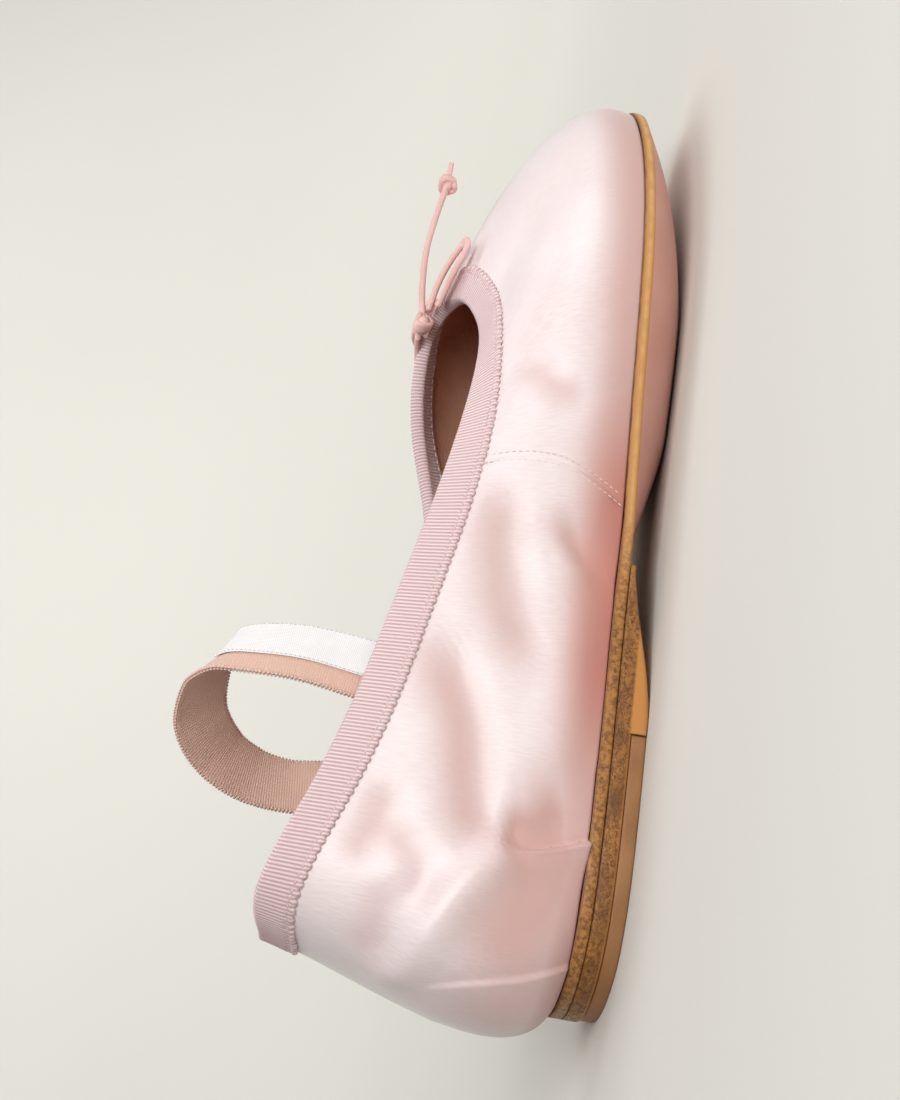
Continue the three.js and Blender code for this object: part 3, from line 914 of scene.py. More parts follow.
@dataclass
class Skin:
    """Points, faces and weave coordinates of a mesh in the making."""

    points: Array
    faces: list
    weave: Array
    finish_of_face: Array

    @classmethod
    def of_grid(cls, grid: Array, weave: Array, wrap_rows: bool = False, wrap_columns: bool = False,
                close_ends: bool = False, finish: int | Array = 0) -> "Skin":
        """Skin over a grid of points.

        Args:
            grid: rows by columns of points.
            weave: rows by columns of weave coordinates.
            wrap_rows: whether the rows close into a ring.
            wrap_columns: whether each row closes into a ring.
            close_ends: whether the first and last rows are capped.
            finish: number of the finish, or one per face of the grid.

        Returns:
            The skin.
        """
        rows, columns = grid.shape[:2]
        faces = quads(rows, columns, wrap_rows, wrap_columns).tolist()
        finishes = np.broadcast_to(np.asarray(finish), (len(faces),)).tolist()
        if close_ends:
            last = (rows - 1) * columns
            faces.append(list(range(columns)))
            faces.append([last + c for c in reversed(range(columns))])
            finishes += [finishes[0], finishes[-1]]
        return cls(grid.reshape(-1, 3), faces, weave.reshape(-1, 2), np.array(finishes))

    @classmethod
    def merged(cls, skins: list["Skin"]) -> "Skin":
        """Several skins as one.

        Args:
            skins: the skins, in order.

        Returns:
            The one skin.
        """
        faces, count = [], 0
        for skin in skins:
            faces += [[i + count for i in face] for face in skin.faces]
            count += len(skin.points)
        return cls(
            np.vstack([skin.points for skin in skins]), faces, np.vstack([skin.weave for skin in skins]),
            np.concatenate([skin.finish_of_face for skin in skins]),
        )

    def piece(self, name: str, slot: str, finishes: list[bpy.types.Material],
              replaces: tuple[str, ...] = (), weave_ring: float = 0.0,
              shade: Array | None = None) -> bpy.types.Object:
        """Make the object, in the part's frame, riding on the shoe.

        Args:
            name: the piece's name.
            slot: the piece's material slot. Not used.
            finishes: materials, in the order of the faces' numbers.
            replaces: CAD nodes that the piece stands for.
            weave_ring: length of the weave's first coordinate round a closed ring.
            shade: how much painted shade each point gets from the folds, from 0 to 1.

        Returns:
            The object.
        """
        mesh = bpy.data.meshes.new(name)
        mesh.from_pydata(to_part(self.points).tolist(), [], self.faces)
        for material in finishes:
            mesh.materials.append(material)
        mesh.polygons.foreach_set("material_index", self.finish_of_face.astype(np.int32))
        mesh.polygons.foreach_set("use_smooth", np.ones(len(mesh.polygons), bool))
        corner_vertex = np.zeros(len(mesh.loops), np.int32)
        mesh.loops.foreach_get("vertex_index", corner_vertex)
        corners = self.weave[corner_vertex].astype(np.float32)
        if weave_ring:
            sizes = np.array([len(face) for face in self.faces])
            starts = np.repeat(np.concatenate([[0], np.cumsum(sizes)[:-1]]), sizes)
            far = corners[:, 0] < corners[starts, 0] - weave_ring / 2
            near = corners[:, 0] > corners[starts, 0] + weave_ring / 2
            corners[far, 0] += weave_ring
            corners[near, 0] -= weave_ring
        layer = mesh.uv_layers.new(name=WEAVE_LAYER)
        layer.data.foreach_set("uv", corners.ravel())
        if shade is not None:
            layer = mesh.attributes.new(SHADE_LAYER, "FLOAT", "POINT")
            layer.data.foreach_set("value", shade.astype(np.float32).ravel())
        mesh.update()
        made = add_object(name, mesh)
        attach(made, BODY)
        if replaces:
            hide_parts(*replaces)
        return made


@dataclass(frozen=True)
class Stitch:
    """Sizes of a row of stitches: their pitch, length and half thickness."""

    pitch: float
    length: float
    radius: float


STITCH_SIDES = 6
STITCH_RINGS = (
    # place along the stitch in lengths, swell and lift in radii
    (-0.5, 0.35, -0.6), (-0.38, 0.85, -0.1), (0.0, 1.0, 0.25), (0.38, 0.85, -0.1), (0.5, 0.35, -0.6),
)


def stitch_skin(points: Array, normals: Array, stitch: Stitch) -> Skin:
    """Short stitches laid along a line.

    Args:
        points: closely spaced points of the line.
        normals: outward direction at each point.
        stitch: sizes of the stitches.

    Returns:
        Skin of all the stitches.
    """
    along = run_length(points)
    middles = np.arange(stitch.pitch / 2, along[-1], stitch.pitch)

    def read(rows: Array, at: Array) -> Array:
        """Rows of the line at distances along it."""
        return np.stack([np.interp(at, along, rows[:, k]) for k in range(3)], axis=1)

    half = stitch.length / 2
    ahead = unit(read(points, middles + half) - read(points, middles - half))
    out = read(normals, middles)
    out = unit(out - ahead * (out * ahead).sum(1, keepdims=True))
    side = np.cross(ahead, out)
    centre = read(points, middles)
    angle = np.arange(STITCH_SIDES) * 2 * math.pi / STITCH_SIDES
    ring = np.cos(angle)[:, None] * side[:, None] + np.sin(angle)[:, None] * out[:, None]
    grid = np.zeros((len(middles), len(STITCH_RINGS), STITCH_SIDES, 3))
    for k, (place, swell, lift) in enumerate(STITCH_RINGS):
        middle = centre + ahead * place * stitch.length + out * lift * stitch.radius
        grid[:, k] = middle[:, None] + ring * stitch.radius * swell
    weave = np.zeros((len(STITCH_RINGS), STITCH_SIDES, 2))
    weave[..., 0] = np.array([place for place, _, _ in STITCH_RINGS])[:, None] * stitch.length
    weave[..., 1] = np.arange(STITCH_SIDES) * stitch.radius
    return Skin.merged([Skin.of_grid(one, weave, wrap_columns=True, close_ends=True) for one in grid])


def band_frames(path: Array, wide: Array) -> tuple[Array, Array, Array]:
    """Directions along, across and off a flat band.

    Args:
        path: middle line of the band.
        wide: wished direction of its width at each point.

    Returns:
        Unit directions ahead, across the width and off its face.
    """
    ahead = unit(np.gradient(path, axis=0))
    across = unit(wide - ahead * (wide * ahead).sum(1, keepdims=True))
    return ahead, across, np.cross(across, ahead)


# The upper


FOLD_SAMPLES = 48
FOLD_REACH = 5.0  # in widths of the fold
LAP_LIP = 0.45  # half the run of a lap's step
LAP_BEAD = 0.7  # place and width of the bead along a lap's edge
LAP_BEAD_HEIGHT = 0.2  # in depths of the lap
LAP_SINK = 0.3  # in depths of the lap
LAP_SINK_WIDTH = 0.45  # in widths of the lap


@dataclass(frozen=True)
class Fold:
    """One listed crease of the satin.

    The route runs in millimetres round the sole's edge from the heel's back, negative over the inner
    side, and millimetres up from it. A lap is raised on the left of its route, seen from outside. The shade
    says how far round and up from its route the flank with painted shade lies, and how deep that shade is.
    """

    kind: FoldKind
    route: tuple[Place, ...]
    depth: float
    width: float
    fade: tuple[float, float] = (0.35, 0.35)
    shade: tuple[float, float, float] | None = None

    def shift(self, last: Last, grid: Array) -> Array:
        """How far the fold moves each point of the satin outwards.

        Args:
            last: the form that places the route.
            grid: points of the smooth face.

        Returns:
            Shift of each point in millimetres.
        """
        line, normals = last.on_face(smooth_route(np.array(self.route), FOLD_SAMPLES))
        left = np.cross(normals, unit(np.gradient(line, axis=0)))
        share = np.linspace(0, 1, FOLD_SAMPLES)
        strength = ease(np.clip(share / self.fade[0], 0, 1)) * ease(np.clip((1 - share) / self.fade[1], 0, 1))
        flat = grid.reshape(-1, 3)
        reach = FOLD_REACH * self.width
        near = np.flatnonzero(((flat > line.min(0) - reach) & (flat < line.max(0) + reach)).all(axis=1))
        gap = flat[near][:, None, :] - line[None]
        distance = np.linalg.norm(gap, axis=2)
        closest = distance.argmin(axis=1)
        rows = np.arange(len(near))
        away = distance[rows, closest]
        side = (gap[rows, closest] * left[closest]).sum(axis=1)
        moved = np.zeros(len(flat))
        moved[near] = strength[closest] * self.profile(away, side)
        return moved.reshape(grid.shape[:2])

    def profile(self, away: Array, side: Array) -> Array:
        """Section across the fold.

        Args:
            away: distance from the route.
            side: signed distance to its left.

        Returns:
            Height of the section at full strength.
        """
        raised = bell(away, self.width)
        if self.kind is FoldKind.TROUGH:
            return -self.depth * raised
        if self.kind is FoldKind.RIDGE:
            return self.depth * raised
        step = ease(np.clip((side + LAP_LIP) / (2 * LAP_LIP), 0, 1))
        raised = raised + LAP_BEAD_HEIGHT * bell(side - LAP_BEAD, LAP_BEAD)
        sunk = LAP_SINK * bell(away, LAP_SINK_WIDTH * self.width)
        return self.depth * (step * raised - (1 - step) * sunk)


@dataclass
class SatinUpper:
    """Satin upper with its leather lining, lasted over the sole's edge and open at the collar."""

    last: Last
    columns: int = 700
    levels: int = 100
    back_levels: int = 34
    satin_thickness: float = 0.7
    wall: float = 1.6
    lining_thickness: float = 0.3
    lining_columns: int = 260
    lining_levels: int = 44
    tuck_in: float = 1.4
    tuck_down: float = 0.2
    tuck_back: tuple[float, float] = (0.3, 0.5)  # in and up from the tuck to the back of the satin
    smooth_rim: float = 6.0  # depth below the collar without folds, and then over which they grow
    deepest_shade: float = 0.95
    scale_steps: int = 4000
    fine_rounds: tuple[float, ...] = (129.8, 42.0, 16.3, -184.8, -222.8, -62.8)
    fine_gain: float = 1.6
    fine_reach: float = 7.0
    seam_step: float = 0.55
    seam_width: float = 9.0
    seam_fade: tuple[float, float] = (0.16, 0.02)
    seam_samples: int = 160
    seam_trim: int = 4
    seam_rows: tuple[tuple[float, float], ...] = ((-0.9, 0.5225), (1.8, -0.16))  # offset round and lift
    seam_stitch: Stitch = Stitch(1.5, 1.15, 0.17)
    outer_seam: tuple[Place, ...] = (
        (131.4, 42.0), (131, 33.4), (130.8, 25.1), (129.2, 16.8), (126.6, 10.6), (123.9, 5.3), (121.4, 0.0),
    )
    inner_seam: tuple[Place, ...] = (
        (-66.8, 52.0), (-66.8, 40.0), (-65.8, 28.0), (-62.8, 16.0), (-59.8, 8.0), (-56.8, 0.0),
    )
    folds: tuple[Fold, ...] = (
        # outer quarter
        Fold(FoldKind.TROUGH, ((130, 28), (120.6, 26.8), (104.8, 25), (91.4, 21.4), (80.3, 16.4), (70, 13)),
             1.7, 5.8, (0.3, 0.3), (0, 3.2, 0.6)),
        Fold(FoldKind.TROUGH, ((88, 38.5), (79.5, 35), (71.4, 31), (62.6, 27.4), (49.1, 24.8), (43, 23), (34, 20)),
             2.0, 5.8, (0.3, 0.2), (0, 3, 0.7)),
        Fold(FoldKind.TROUGH, ((120, 17.6), (110.2, 9.8), (104.8, 5.2), (97, 0)), 1.6, 3.8, (0.4, 0.5),
             (0, 2, 0.65)),
        Fold(FoldKind.RIDGE, ((113.8, 24), (104.8, 16), (95, 10)), 0.7, 4.5),
        Fold(FoldKind.RIDGE, ((100, 14), (81.8, 9.6), (64.8, 9.4), (50, 14)), 1.2, 6.5),
        Fold(FoldKind.TROUGH, ((42.4, 20.4), (42.8, 16.4), (43.6, 11), (45.6, 5.5), (48, 0)), 2.2, 6.2, (0.25, 0.4),
             (1, 0, 0.95)),
        Fold(FoldKind.TROUGH, ((47, 15), (54, 9), (64, 1)), 0.4, 6.5, (0.35, 0.2), (0, 0, 0.5)),
        Fold(FoldKind.LAP, ((44.5, -1), (42.2, 4.5), (40.4, 10.6), (39.9, 14), (40.4, 17.8)),
             1.5, 5.0, (0.05, 0.4)),
        Fold(FoldKind.RIDGE, ((43, 17), (36.4, 19.8), (30.7, 24), (26.2, 27.8), (21.4, 31), (10, 38), (0, 43)),
             2.2, 4.9, (0.12, 0.3)),
        Fold(FoldKind.TROUGH, ((46, 2), (38, 8), (28, 15), (15, 26)), 1.2, 9.0, (0.4, 0.3), (0, 0, 0.42)),
        # almost flat: this trough only lays painted shade over the heel's lower back
        Fold(FoldKind.TROUGH, ((46, 5), (32, 7), (18, 10), (4, 15), (-8, 18)), 0.05, 13.5,
             (0.12, 0.3), (0, 0, 0.64)),
        Fold(FoldKind.TROUGH, ((43, 39.4), (37.5, 38), (33, 34.6), (28.5, 34), (21, 35)), 0.8, 4.4, (0.3, 0.35),
             (0, 2, 0.38)),
        Fold(FoldKind.TROUGH, ((50, 41), (43, 42.6), (36, 45), (28, 49)), 0.6, 4.4, (0.3, 0.3), (0, 2.4, 0.42)),
        Fold(FoldKind.TROUGH, ((31, 40), (25, 40.6), (18, 41.6), (10, 43)), 0.6, 4.2, (0.35, 0.35), (0, 2.4, 0.35)),
        Fold(FoldKind.LAP, ((18.2, -1), (17.6, 6), (16.4, 12), (15.3, 17.2), (13.1, 24.6), (9.1, 32.4), (6.7, 35)),
             0.55, 5.0, (0.05, 0.4)),
        # forefoot
        Fold(FoldKind.TROUGH, ((160, 27), (153, 21), (147, 14), (142, 6)), 1.0, 4.6, (0.3, 0.35), (0, 2, 0.45)),
        Fold(FoldKind.RIDGE, ((160, 19), (153, 13), (147, 6)), 0.3, 5.0),
        # inner side
        Fold(FoldKind.LAP, ((-184.8, -1), (-184.8, 8), (-185.3, 16), (-183.8, 23), (-179.8, 26)),
             1.3, 6.0, (0.05, 0.3)),
        Fold(FoldKind.LAP, ((-223.8, 28), (-223.3, 18), (-222.8, 8), (-222.3, -1)), 1.0, 5.5, (0.35, 0.05)),
        Fold(FoldKind.TROUGH, ((-132, 29), (-116, 28), (-100, 24.6), (-86, 19.4), (-74, 15)), 1.5, 5.8),
        Fold(FoldKind.TROUGH, ((-92, 38), (-78, 35), (-64, 30), (-50, 26), (-38, 22.6)), 1.7, 5.8),
        Fold(FoldKind.RIDGE, ((-104, 13), (-84, 10), (-62, 12)), 1.0, 6.0),
        Fold(FoldKind.TROUGH, ((-128, 18), (-118, 11), (-110, 3)), 1.1, 4.4),
        Fold(FoldKind.TROUGH, ((-44, 43), (-34, 40), (-22, 37), (-12, 36)), 0.9, 4.6),
        Fold(FoldKind.LAP, ((-21, -1), (-17.2, 10), (-11.5, 22), (-5.7, 30)), 0.9, 6.0, (0.05, 0.4)),
    )

    def column_shares(self) -> Array:
        """Shares of the columns, closer together at seams and pleats.

        Returns:
            One share per column.
        """
        rounds = np.linspace(0, self.last.perimeter, self.scale_steps)
        density = np.ones(len(rounds))
        for centre in self.fine_rounds:
            away = (rounds - centre + self.last.perimeter / 2) % self.last.perimeter - self.last.perimeter / 2
            density += self.fine_gain * bell(away, self.fine_reach)
        filled = np.concatenate([[0], np.cumsum((density[1:] + density[:-1]) / 2)])
        wanted = np.arange(self.columns) / self.columns * filled[-1]
        return self.last.share_at(np.interp(wanted, filled, rounds) % self.last.perimeter)

    def seam_fold(self, route: tuple[Place, ...]) -> Fold:
        """Folded edge that laps the panel behind a seam over the one in front."""
        return Fold(FoldKind.LAP, route[::-1], self.seam_step, self.seam_width, self.seam_fade)

    def smooth_face(self, shares: Array, rows: int) -> tuple[Array, Array]:
        """Levels and points of the outer face without folds, columns by levels."""
        levels = np.broadcast_to(np.linspace(0, 1, rows), (len(shares), rows))
        return levels, self.last.points(shares, levels)

    def shades(self, shares: Array, rows: int) -> Array:
        """How much painted shade each point of the face gets from the shaded flanks of the folds.

        Args:
            shares: shares of the columns.
            rows: number of levels from the sole to the collar.

        Returns:
            Shade from 0 to 1, columns by levels.
        """
        _, grid = self.smooth_face(shares, rows)
        total = np.zeros(grid.shape[:2])
        for fold in self.folds:
            if fold.shade is not None:
                along, up, tone = fold.shade
                flank = tuple((x + along, z + up) for x, z in fold.route)
                total -= replace(fold, kind=FoldKind.TROUGH, route=flank, depth=tone).shift(self.last, grid)
        return np.clip(total, 0, self.deepest_shade)

    def face(self, shares: Array, rows: int) -> tuple[Array, Array]:
        """Creased outer face.

        Args:
            shares: shares of the columns.
            rows: number of levels from the sole to the collar.

        Returns:
            Points and the normals of the smooth form, columns by levels.
        """
        levels, grid = self.smooth_face(shares, rows)
        normals = self.last.normals(shares, levels)
        shift = np.zeros(grid.shape[:2])
        for fold in (*self.folds, self.seam_fold(self.outer_seam), self.seam_fold(self.inner_seam)):
            shift += fold.shift(self.last, grid)
        from_rim = (1 - levels) * self.last.lengths(shares)[:, None]
        grown = np.clip(from_rim / self.smooth_rim - 1, 0, 1)
        return grid + normals * (shift * grown)[..., None], normals

    def build(self, finishes: Finishes) -> list[bpy.types.Object]:
        """Make the satin, its seams' stitches and the lining.

        Args:
            finishes: the shoe's finishes.

        Returns:
            The pieces.
        """
        shares = self.column_shares()
        outside, normals = self.face(shares, self.levels + 1)
        inwards = -self.last.outwards(shares, 0)
        tucks = [outside[:, 0] + (inwards * self.tuck_in - UP * self.tuck_down) * k for k in (1.0, 0.5)]
        back_at = np.linspace(1, 0, self.back_levels)
        picked = np.round(back_at * self.levels).astype(int)
        back = outside[:, picked] - normals[:, picked] * self.satin_thickness
        back[:, -1] = tucks[0] + inwards * self.tuck_back[0] + UP * self.tuck_back[1]
        grid = np.concatenate([np.stack(tucks, axis=1), outside, back], axis=1)
        lengths = self.last.lengths(shares)[:, None]
        height = np.concatenate([
            np.full((len(shares), len(tucks)), -1.0),
            np.linspace(0, 1, self.levels + 1) * lengths,
            back_at * lengths,
        ], axis=1)
        rounds = np.interp(shares, self.last.scale_shares, self.last.scale_round)
        weave = np.stack([np.broadcast_to(rounds[:, None], height.shape), height], axis=-1)
        skin = Skin.of_grid(grid, weave, wrap_rows=True, wrap_columns=True)
        shade = np.zeros(height.shape)
        shade[:, len(tucks):len(tucks) + self.levels + 1] = self.shades(shares, self.levels + 1)
        satin = skin.piece("upper_satin", "satin", [finishes.satin], ("upper",), self.last.perimeter, shade)
        return [satin, self.lining(finishes), *self.stitches(finishes)]

    def lining(self, finishes: Finishes) -> bpy.types.Object:
        """Make the leather lining inside the satin.

        Args:
            finishes: the shoe's finishes.

        Returns:
            The lining.
        """
        shares = np.arange(self.lining_columns) / self.lining_columns
        outside, normals = self.face(shares, self.lining_levels)
        near = outside - normals * (self.wall - self.lining_thickness)
        far = outside - normals * self.wall
        grid = np.concatenate([near, far[:, ::-1]], axis=1)
        skin = Skin.of_grid(grid, grid[..., [0, 2]], wrap_rows=True, wrap_columns=True)
        return skin.piece("upper_lining", "lining_leather", [finishes.lining])

    def stitches(self, finishes: Finishes) -> list[bpy.types.Object]:
        """Make the rows of stitches along both side seams.

        Args:
            finishes: the shoe's finishes.

        Returns:
            One piece per seam.
        """
        made = []
        for name, route in (("outer", self.outer_seam), ("inner", self.inner_seam)):
            places = smooth_route(np.array(route), self.seam_samples)[self.seam_trim:-self.seam_trim]
            rows = [
                stitch_skin(*self.last.on_face(places + [offset, 0.0], lift), self.seam_stitch)
                for offset, lift in self.seam_rows
            ]
            made.append(Skin.merged(rows).piece(f"side_seam_stitches_{name}", "satin", [finishes.pink_thread]))
        return made


# The collar


@dataclass
class CollarRibbon:
    """Grosgrain ribbon folded over the collar's edge, with a scalloped lower edge sewn down."""

    last: Last
    outside: float = 8.2
    inside: float = 6.5
    wall: float = 1.6
    bed: float = 0.3
    thickness: float = 0.62
    rib_pitch: float = 0.85
    rib_height: float = 0.1
    columns_per_rib: int = 4
    stitch: Stitch = Stitch(1.9, 1.25, 0.17)  # one for each scallop
    stitch_sink: tuple[float, float] = (0.1, 0.08)  # outside and inside
    scallop: float = 0.55
    picot: float = 0.16
    picot_level: float = 0.4
    seam_from_edge: tuple[float, float] = (1.5, 1.2)
    seam_depth: tuple[float, float] = (0.22, 0.2)
    seam_width: float = 0.35
    ribs_start: float = 0.8  # run over which the ribs grow across the outer seam
    edge_radius: float = 0.35
    edge_share: float = 0.35
    turn_rise: float = 0.95
    turn_steps: int = 9
    hidden: float = 0.05
    scale_steps: int = 2401
    outer_rows: int = 16
    inner_rows: int = 11

    def rim_shares(self) -> tuple[Array, Array, float]:
        """Columns evenly spaced along the rim.

        Returns:
            Shares, distances along the rim and the rim's length, both counted in ribs.
        """
        dense = np.linspace(0, 1, self.scale_steps)
        rim = self.last.points(dense, np.ones((len(dense), 1)))[:, 0]
        along = run_length(rim)
        ribs = round(along[-1] / self.rib_pitch)
        count = ribs * self.columns_per_rib
        wanted = np.arange(count) / count * along[-1]
        return np.interp(wanted, along, dense), wanted / along[-1] * ribs, float(ribs)

    def face(self, shares: Array, depths: Array, offset: Array) -> Array:
        """Points below the rim at depths and offsets from the upper's outer face."""
        levels = 1 - depths / self.last.lengths(shares)[:, None]
        return self.last.points(shares, levels) + self.last.normals(shares, levels) * offset[..., None]

    def crown(self, from_edge: Array, inside: int) -> Array:
        """Height of the ribbon near an edge: rounded off, and drawn in along its seam.

        Args:
            from_edge: distance from the edge.
            inside: 0 for the outer face, 1 for the inner one.

        Returns:
            Heights.
        """
        sewn = self.seam_depth[inside] * bell(from_edge - self.seam_from_edge[inside], self.seam_width)
        return self.thickness * rounded_off(from_edge, self.edge_radius, self.edge_share) - sewn

    def build(self, finishes: Finishes) -> list[bpy.types.Object]:
        """Make the ribbon and its two rows of stitches.

        Args:
            finishes: the shoe's finishes.

        Returns:
            The pieces.
        """
        shares, ribs, ring = self.rim_shares()
        wave = np.cos(2 * math.pi * ribs)[:, None]
        bumps = np.abs(np.cos(math.pi * ribs * self.rib_pitch / self.stitch.pitch))[:, None]
        edge = self.outside + self.scallop * (bumps - 0.5)
        depth = np.linspace(1, 0, self.outer_rows)[None, :] * edge
        from_edge = edge - depth
        ribbed = np.clip((from_edge - self.seam_from_edge[0]) / self.ribs_start + 0.5, 0, 1)
        relief = self.rib_height * wave * ribbed + self.picot * (bumps - self.picot_level) * (1 - ribbed)
        outer = self.face(shares, depth, self.bed + self.crown(from_edge, 0) + relief)
        rise = self.last.rises(shares)
        turn = np.linspace(0, math.pi, self.turn_steps)[None, 1:-1]
        half = self.wall / 2 + self.bed + self.thickness
        rim = self.last.points(shares, np.ones((len(shares), 1)))
        rim_normal = self.last.normals(shares, np.ones((len(shares), 1)))
        reach = half + self.rib_height * wave
        over = (rim + rim_normal * (np.cos(turn) * reach - self.wall / 2)[..., None]
                + rise[:, None] * (np.sin(turn) * (self.turn_rise + self.rib_height * wave))[..., None])
        lower = np.linspace(0, 1, self.inner_rows)[None, :] * self.inside * np.ones_like(wave)
        inner_relief = self.crown(self.inside - lower, 1) + self.rib_height * wave
        inner = self.face(shares, lower, -self.wall - self.bed - inner_relief)
        flat = np.full((len(shares), 2), self.hidden)
        hidden_in = self.face(shares, lower[:, [-1, 0]], -self.wall - flat)
        hidden_out = self.face(shares, depth[:, [-1, 0]], flat)
        grid = np.concatenate([outer, over, inner, hidden_in, hidden_out], axis=1)
        weave = np.stack(np.broadcast_arrays(ribs[:, None], run_length(grid[0])[None]), axis=-1)
        skin = Skin.of_grid(grid, weave, wrap_rows=True, wrap_columns=True)
        ribbon = skin.piece("collar_ribbon", "ribbon", [finishes.ribbon], ("collar_binding",), ring)
        return [ribbon, self.stitches(shares, finishes)]

    def stitches(self, shares: Array, finishes: Finishes) -> bpy.types.Object:
        """Make the rows of stitches that hold the ribbon outside and inside.

        Args:
            shares: shares of the ribbon's columns.
            finishes: the shoe's finishes.

        Returns:
            The stitches.
        """
        every = shares[::2]
        top = self.bed + self.thickness
        rows = []
        for depth, offset in (
            (self.outside - self.seam_from_edge[0], top - self.stitch_sink[0]),
            (self.inside - self.seam_from_edge[1], self.stitch_sink[1] - self.wall - top),
        ):
            at = np.full((len(every), 1), depth)
            line = self.face(every, at, np.full((len(every), 1), offset))[:, 0]
            levels = 1 - at / self.last.lengths(every)[:, None]
            normals = self.last.normals(every, levels)[:, 0] * math.copysign(1, offset)
            rows.append(stitch_skin(line, normals, self.stitch))
        return Skin.merged(rows).piece("collar_stitches", "ribbon", [finishes.mauve_thread])


# Sole and heel


@dataclass
class SoleUnit:
    """Thin leather outsole with its low stacked heel, lift and sock."""

    last: Last
    heel_inset: float = 0.5
    lift_height: float = 3.4
    lift_length: float = 59.0
    stack_length: float = 98.0
    lift_round: tuple[float, float] = (0.25, 0.6)  # rise and width of the lift's rounded lower edge
    sock_thickness: float = 1.5
    sock_inset: float = 3.0
    sock_skive: float = 1.5  # margin over which the sock thins to half
    sole_bulge: float = 0.35
    stack_bulge: float = 0.2
    stack_out: float = 0.25  # how far the stack stands out past the lift's line
    lift_bulge: float = 0.15
    sock_bulge: float = 0.1
    outline_steps: int = 1600
    stations: int = 150
    across: int = 41
    edge_steps: int = 7
    break_half: float = 0.02
    ramp: Array = field(default_factory=lambda: np.array([
        [0, 0.2], [63, 0.2], [72, 1.2], [82, 3.3], [91, 5.2], [98, 6.2],
    ], float))

    def sides(self, inset: float) -> tuple[Array, Array]:
        """Halves of the outline from the heel's back to the toe's tip.

        Args:
            inset: how far inside the sole's outline they run.

        Returns:
            Points of the outer and of the inner half.
        """
        loop = self.last.outline(np.linspace(0, 1, self.outline_steps, endpoint=False), inset)[:, :2]
        loop = np.roll(loop, -int(loop[:, 0].argmin()), axis=0)
        tip = int(loop[:, 0].argmax())
        return loop[:tip + 1], np.vstack([loop[tip:], loop[:1]])[::-1]

    def plate(self, inset: float, length: float | None, underside: Heights, top: Heights,
              bulge: float, breaks: tuple[float, ...] = ()) -> Skin:
        """Closed plate inside the sole's outline.

        Args:
            inset: how far inside the outline it stands.
            length: station of its straight front edge, or None for the whole sole.
            underside: heights of the lower face from stations and depths.
            top: heights of the upper face from stations and depths.
            bulge: how far the edge stands out in its middle.
            breaks: stations that get a pair of close sections.

        Returns:
            Skin with finish 0 on the edge, 1 below and 2 above.
        """
        outer, inner = self.sides(inset)
        back, tip = outer[0, 0], outer[-1, 0]
        end = tip if length is None else length
        turn = math.pi if length is None else math.pi / 2
        share = (1 - np.cos(np.linspace(0, turn, self.stations))) / (1 - math.cos(turn))
        x = back + (end - back) * share
        for station in breaks:
            x = np.sort(np.append(x, [station - self.break_half, station + self.break_half]))
        low_y, high_y = np.interp(x, outer[:, 0], outer[:, 1]), np.interp(x, inner[:, 0], inner[:, 1])
        spread = crowded(self.across)
        width = (high_y - low_y)[:, None]
        y = low_y[:, None] + width * spread
        depth = inset + np.minimum(spread, 1 - spread)[None] * width
        at = np.broadcast_to(x[:, None], y.shape)
        lower = np.stack([at, y, underside(at, depth)], axis=-1)
        upper = np.stack([at, y, top(at, depth)], axis=-1)
        steps = np.linspace(0, 1, self.edge_steps + 2)[1:-1]
        swell = bulge * np.sqrt(np.clip(1 - (2 * steps - 1) ** 2, 0, 1))

        def edge(column: int, way: float, order: Array) -> Array:
            """Rounded edge between the two faces.

            Args:
                column: column of the faces that it joins.
                way: side that it bulges to.
                order: shares of the way up, in the order of its points.

            Returns:
                Points of the edge.
            """
            low, high = lower[:, column, None], upper[:, column, None]
            rise = low * (1 - order)[None, :, None] + high * order[None, :, None]
            rise[..., 1] += way * np.minimum(swell, width / 2)
            return rise

        grid = np.concatenate([lower, edge(-1, 1, steps), upper[:, ::-1], edge(0, -1, steps[::-1])], axis=1)
        tall = np.concatenate([np.zeros(self.across), steps, np.ones(self.across), steps[::-1]])
        weave = np.stack(np.broadcast_arrays(x[:, None], tall[None]), axis=-1)
        number = np.zeros(grid.shape[1], int)
        number[:self.across - 1] = 1
        first_upper = self.across + self.edge_steps
        number[first_upper:first_upper + self.across - 1] = 2
        finish = np.tile(number, len(x) - 1)
        return Skin.of_grid(grid, weave, wrap_columns=True, close_ends=True, finish=finish)

    def build(self, finishes: Finishes) -> list[bpy.types.Object]:
        """Make the outsole, heel stack, lift and sock.

        Args:
            finishes: the shoe's finishes.

        Returns:
            The pieces.
        """
        gap, thick = self.last.seam_gap, self.last.sole_thickness
        under = self.last.underside
        rise, run = self.lift_round

        def stack_under(x: Array, depth: Array) -> Array:
            """Underside of the stack: level over the lift, then the ramp."""
            return np.where(x < self.lift_length + gap, self.lift_height + gap / 2, level_line(self.ramp, x))

        def sock_top(x: Array, depth: Array) -> Array:
            """Top of the sock, skived at its edge."""
            full = 0.5 + 0.5 * np.clip((depth - self.sock_inset) / self.sock_skive, 0, 1)
            return under(x, depth) + thick + gap + self.sock_thickness * full

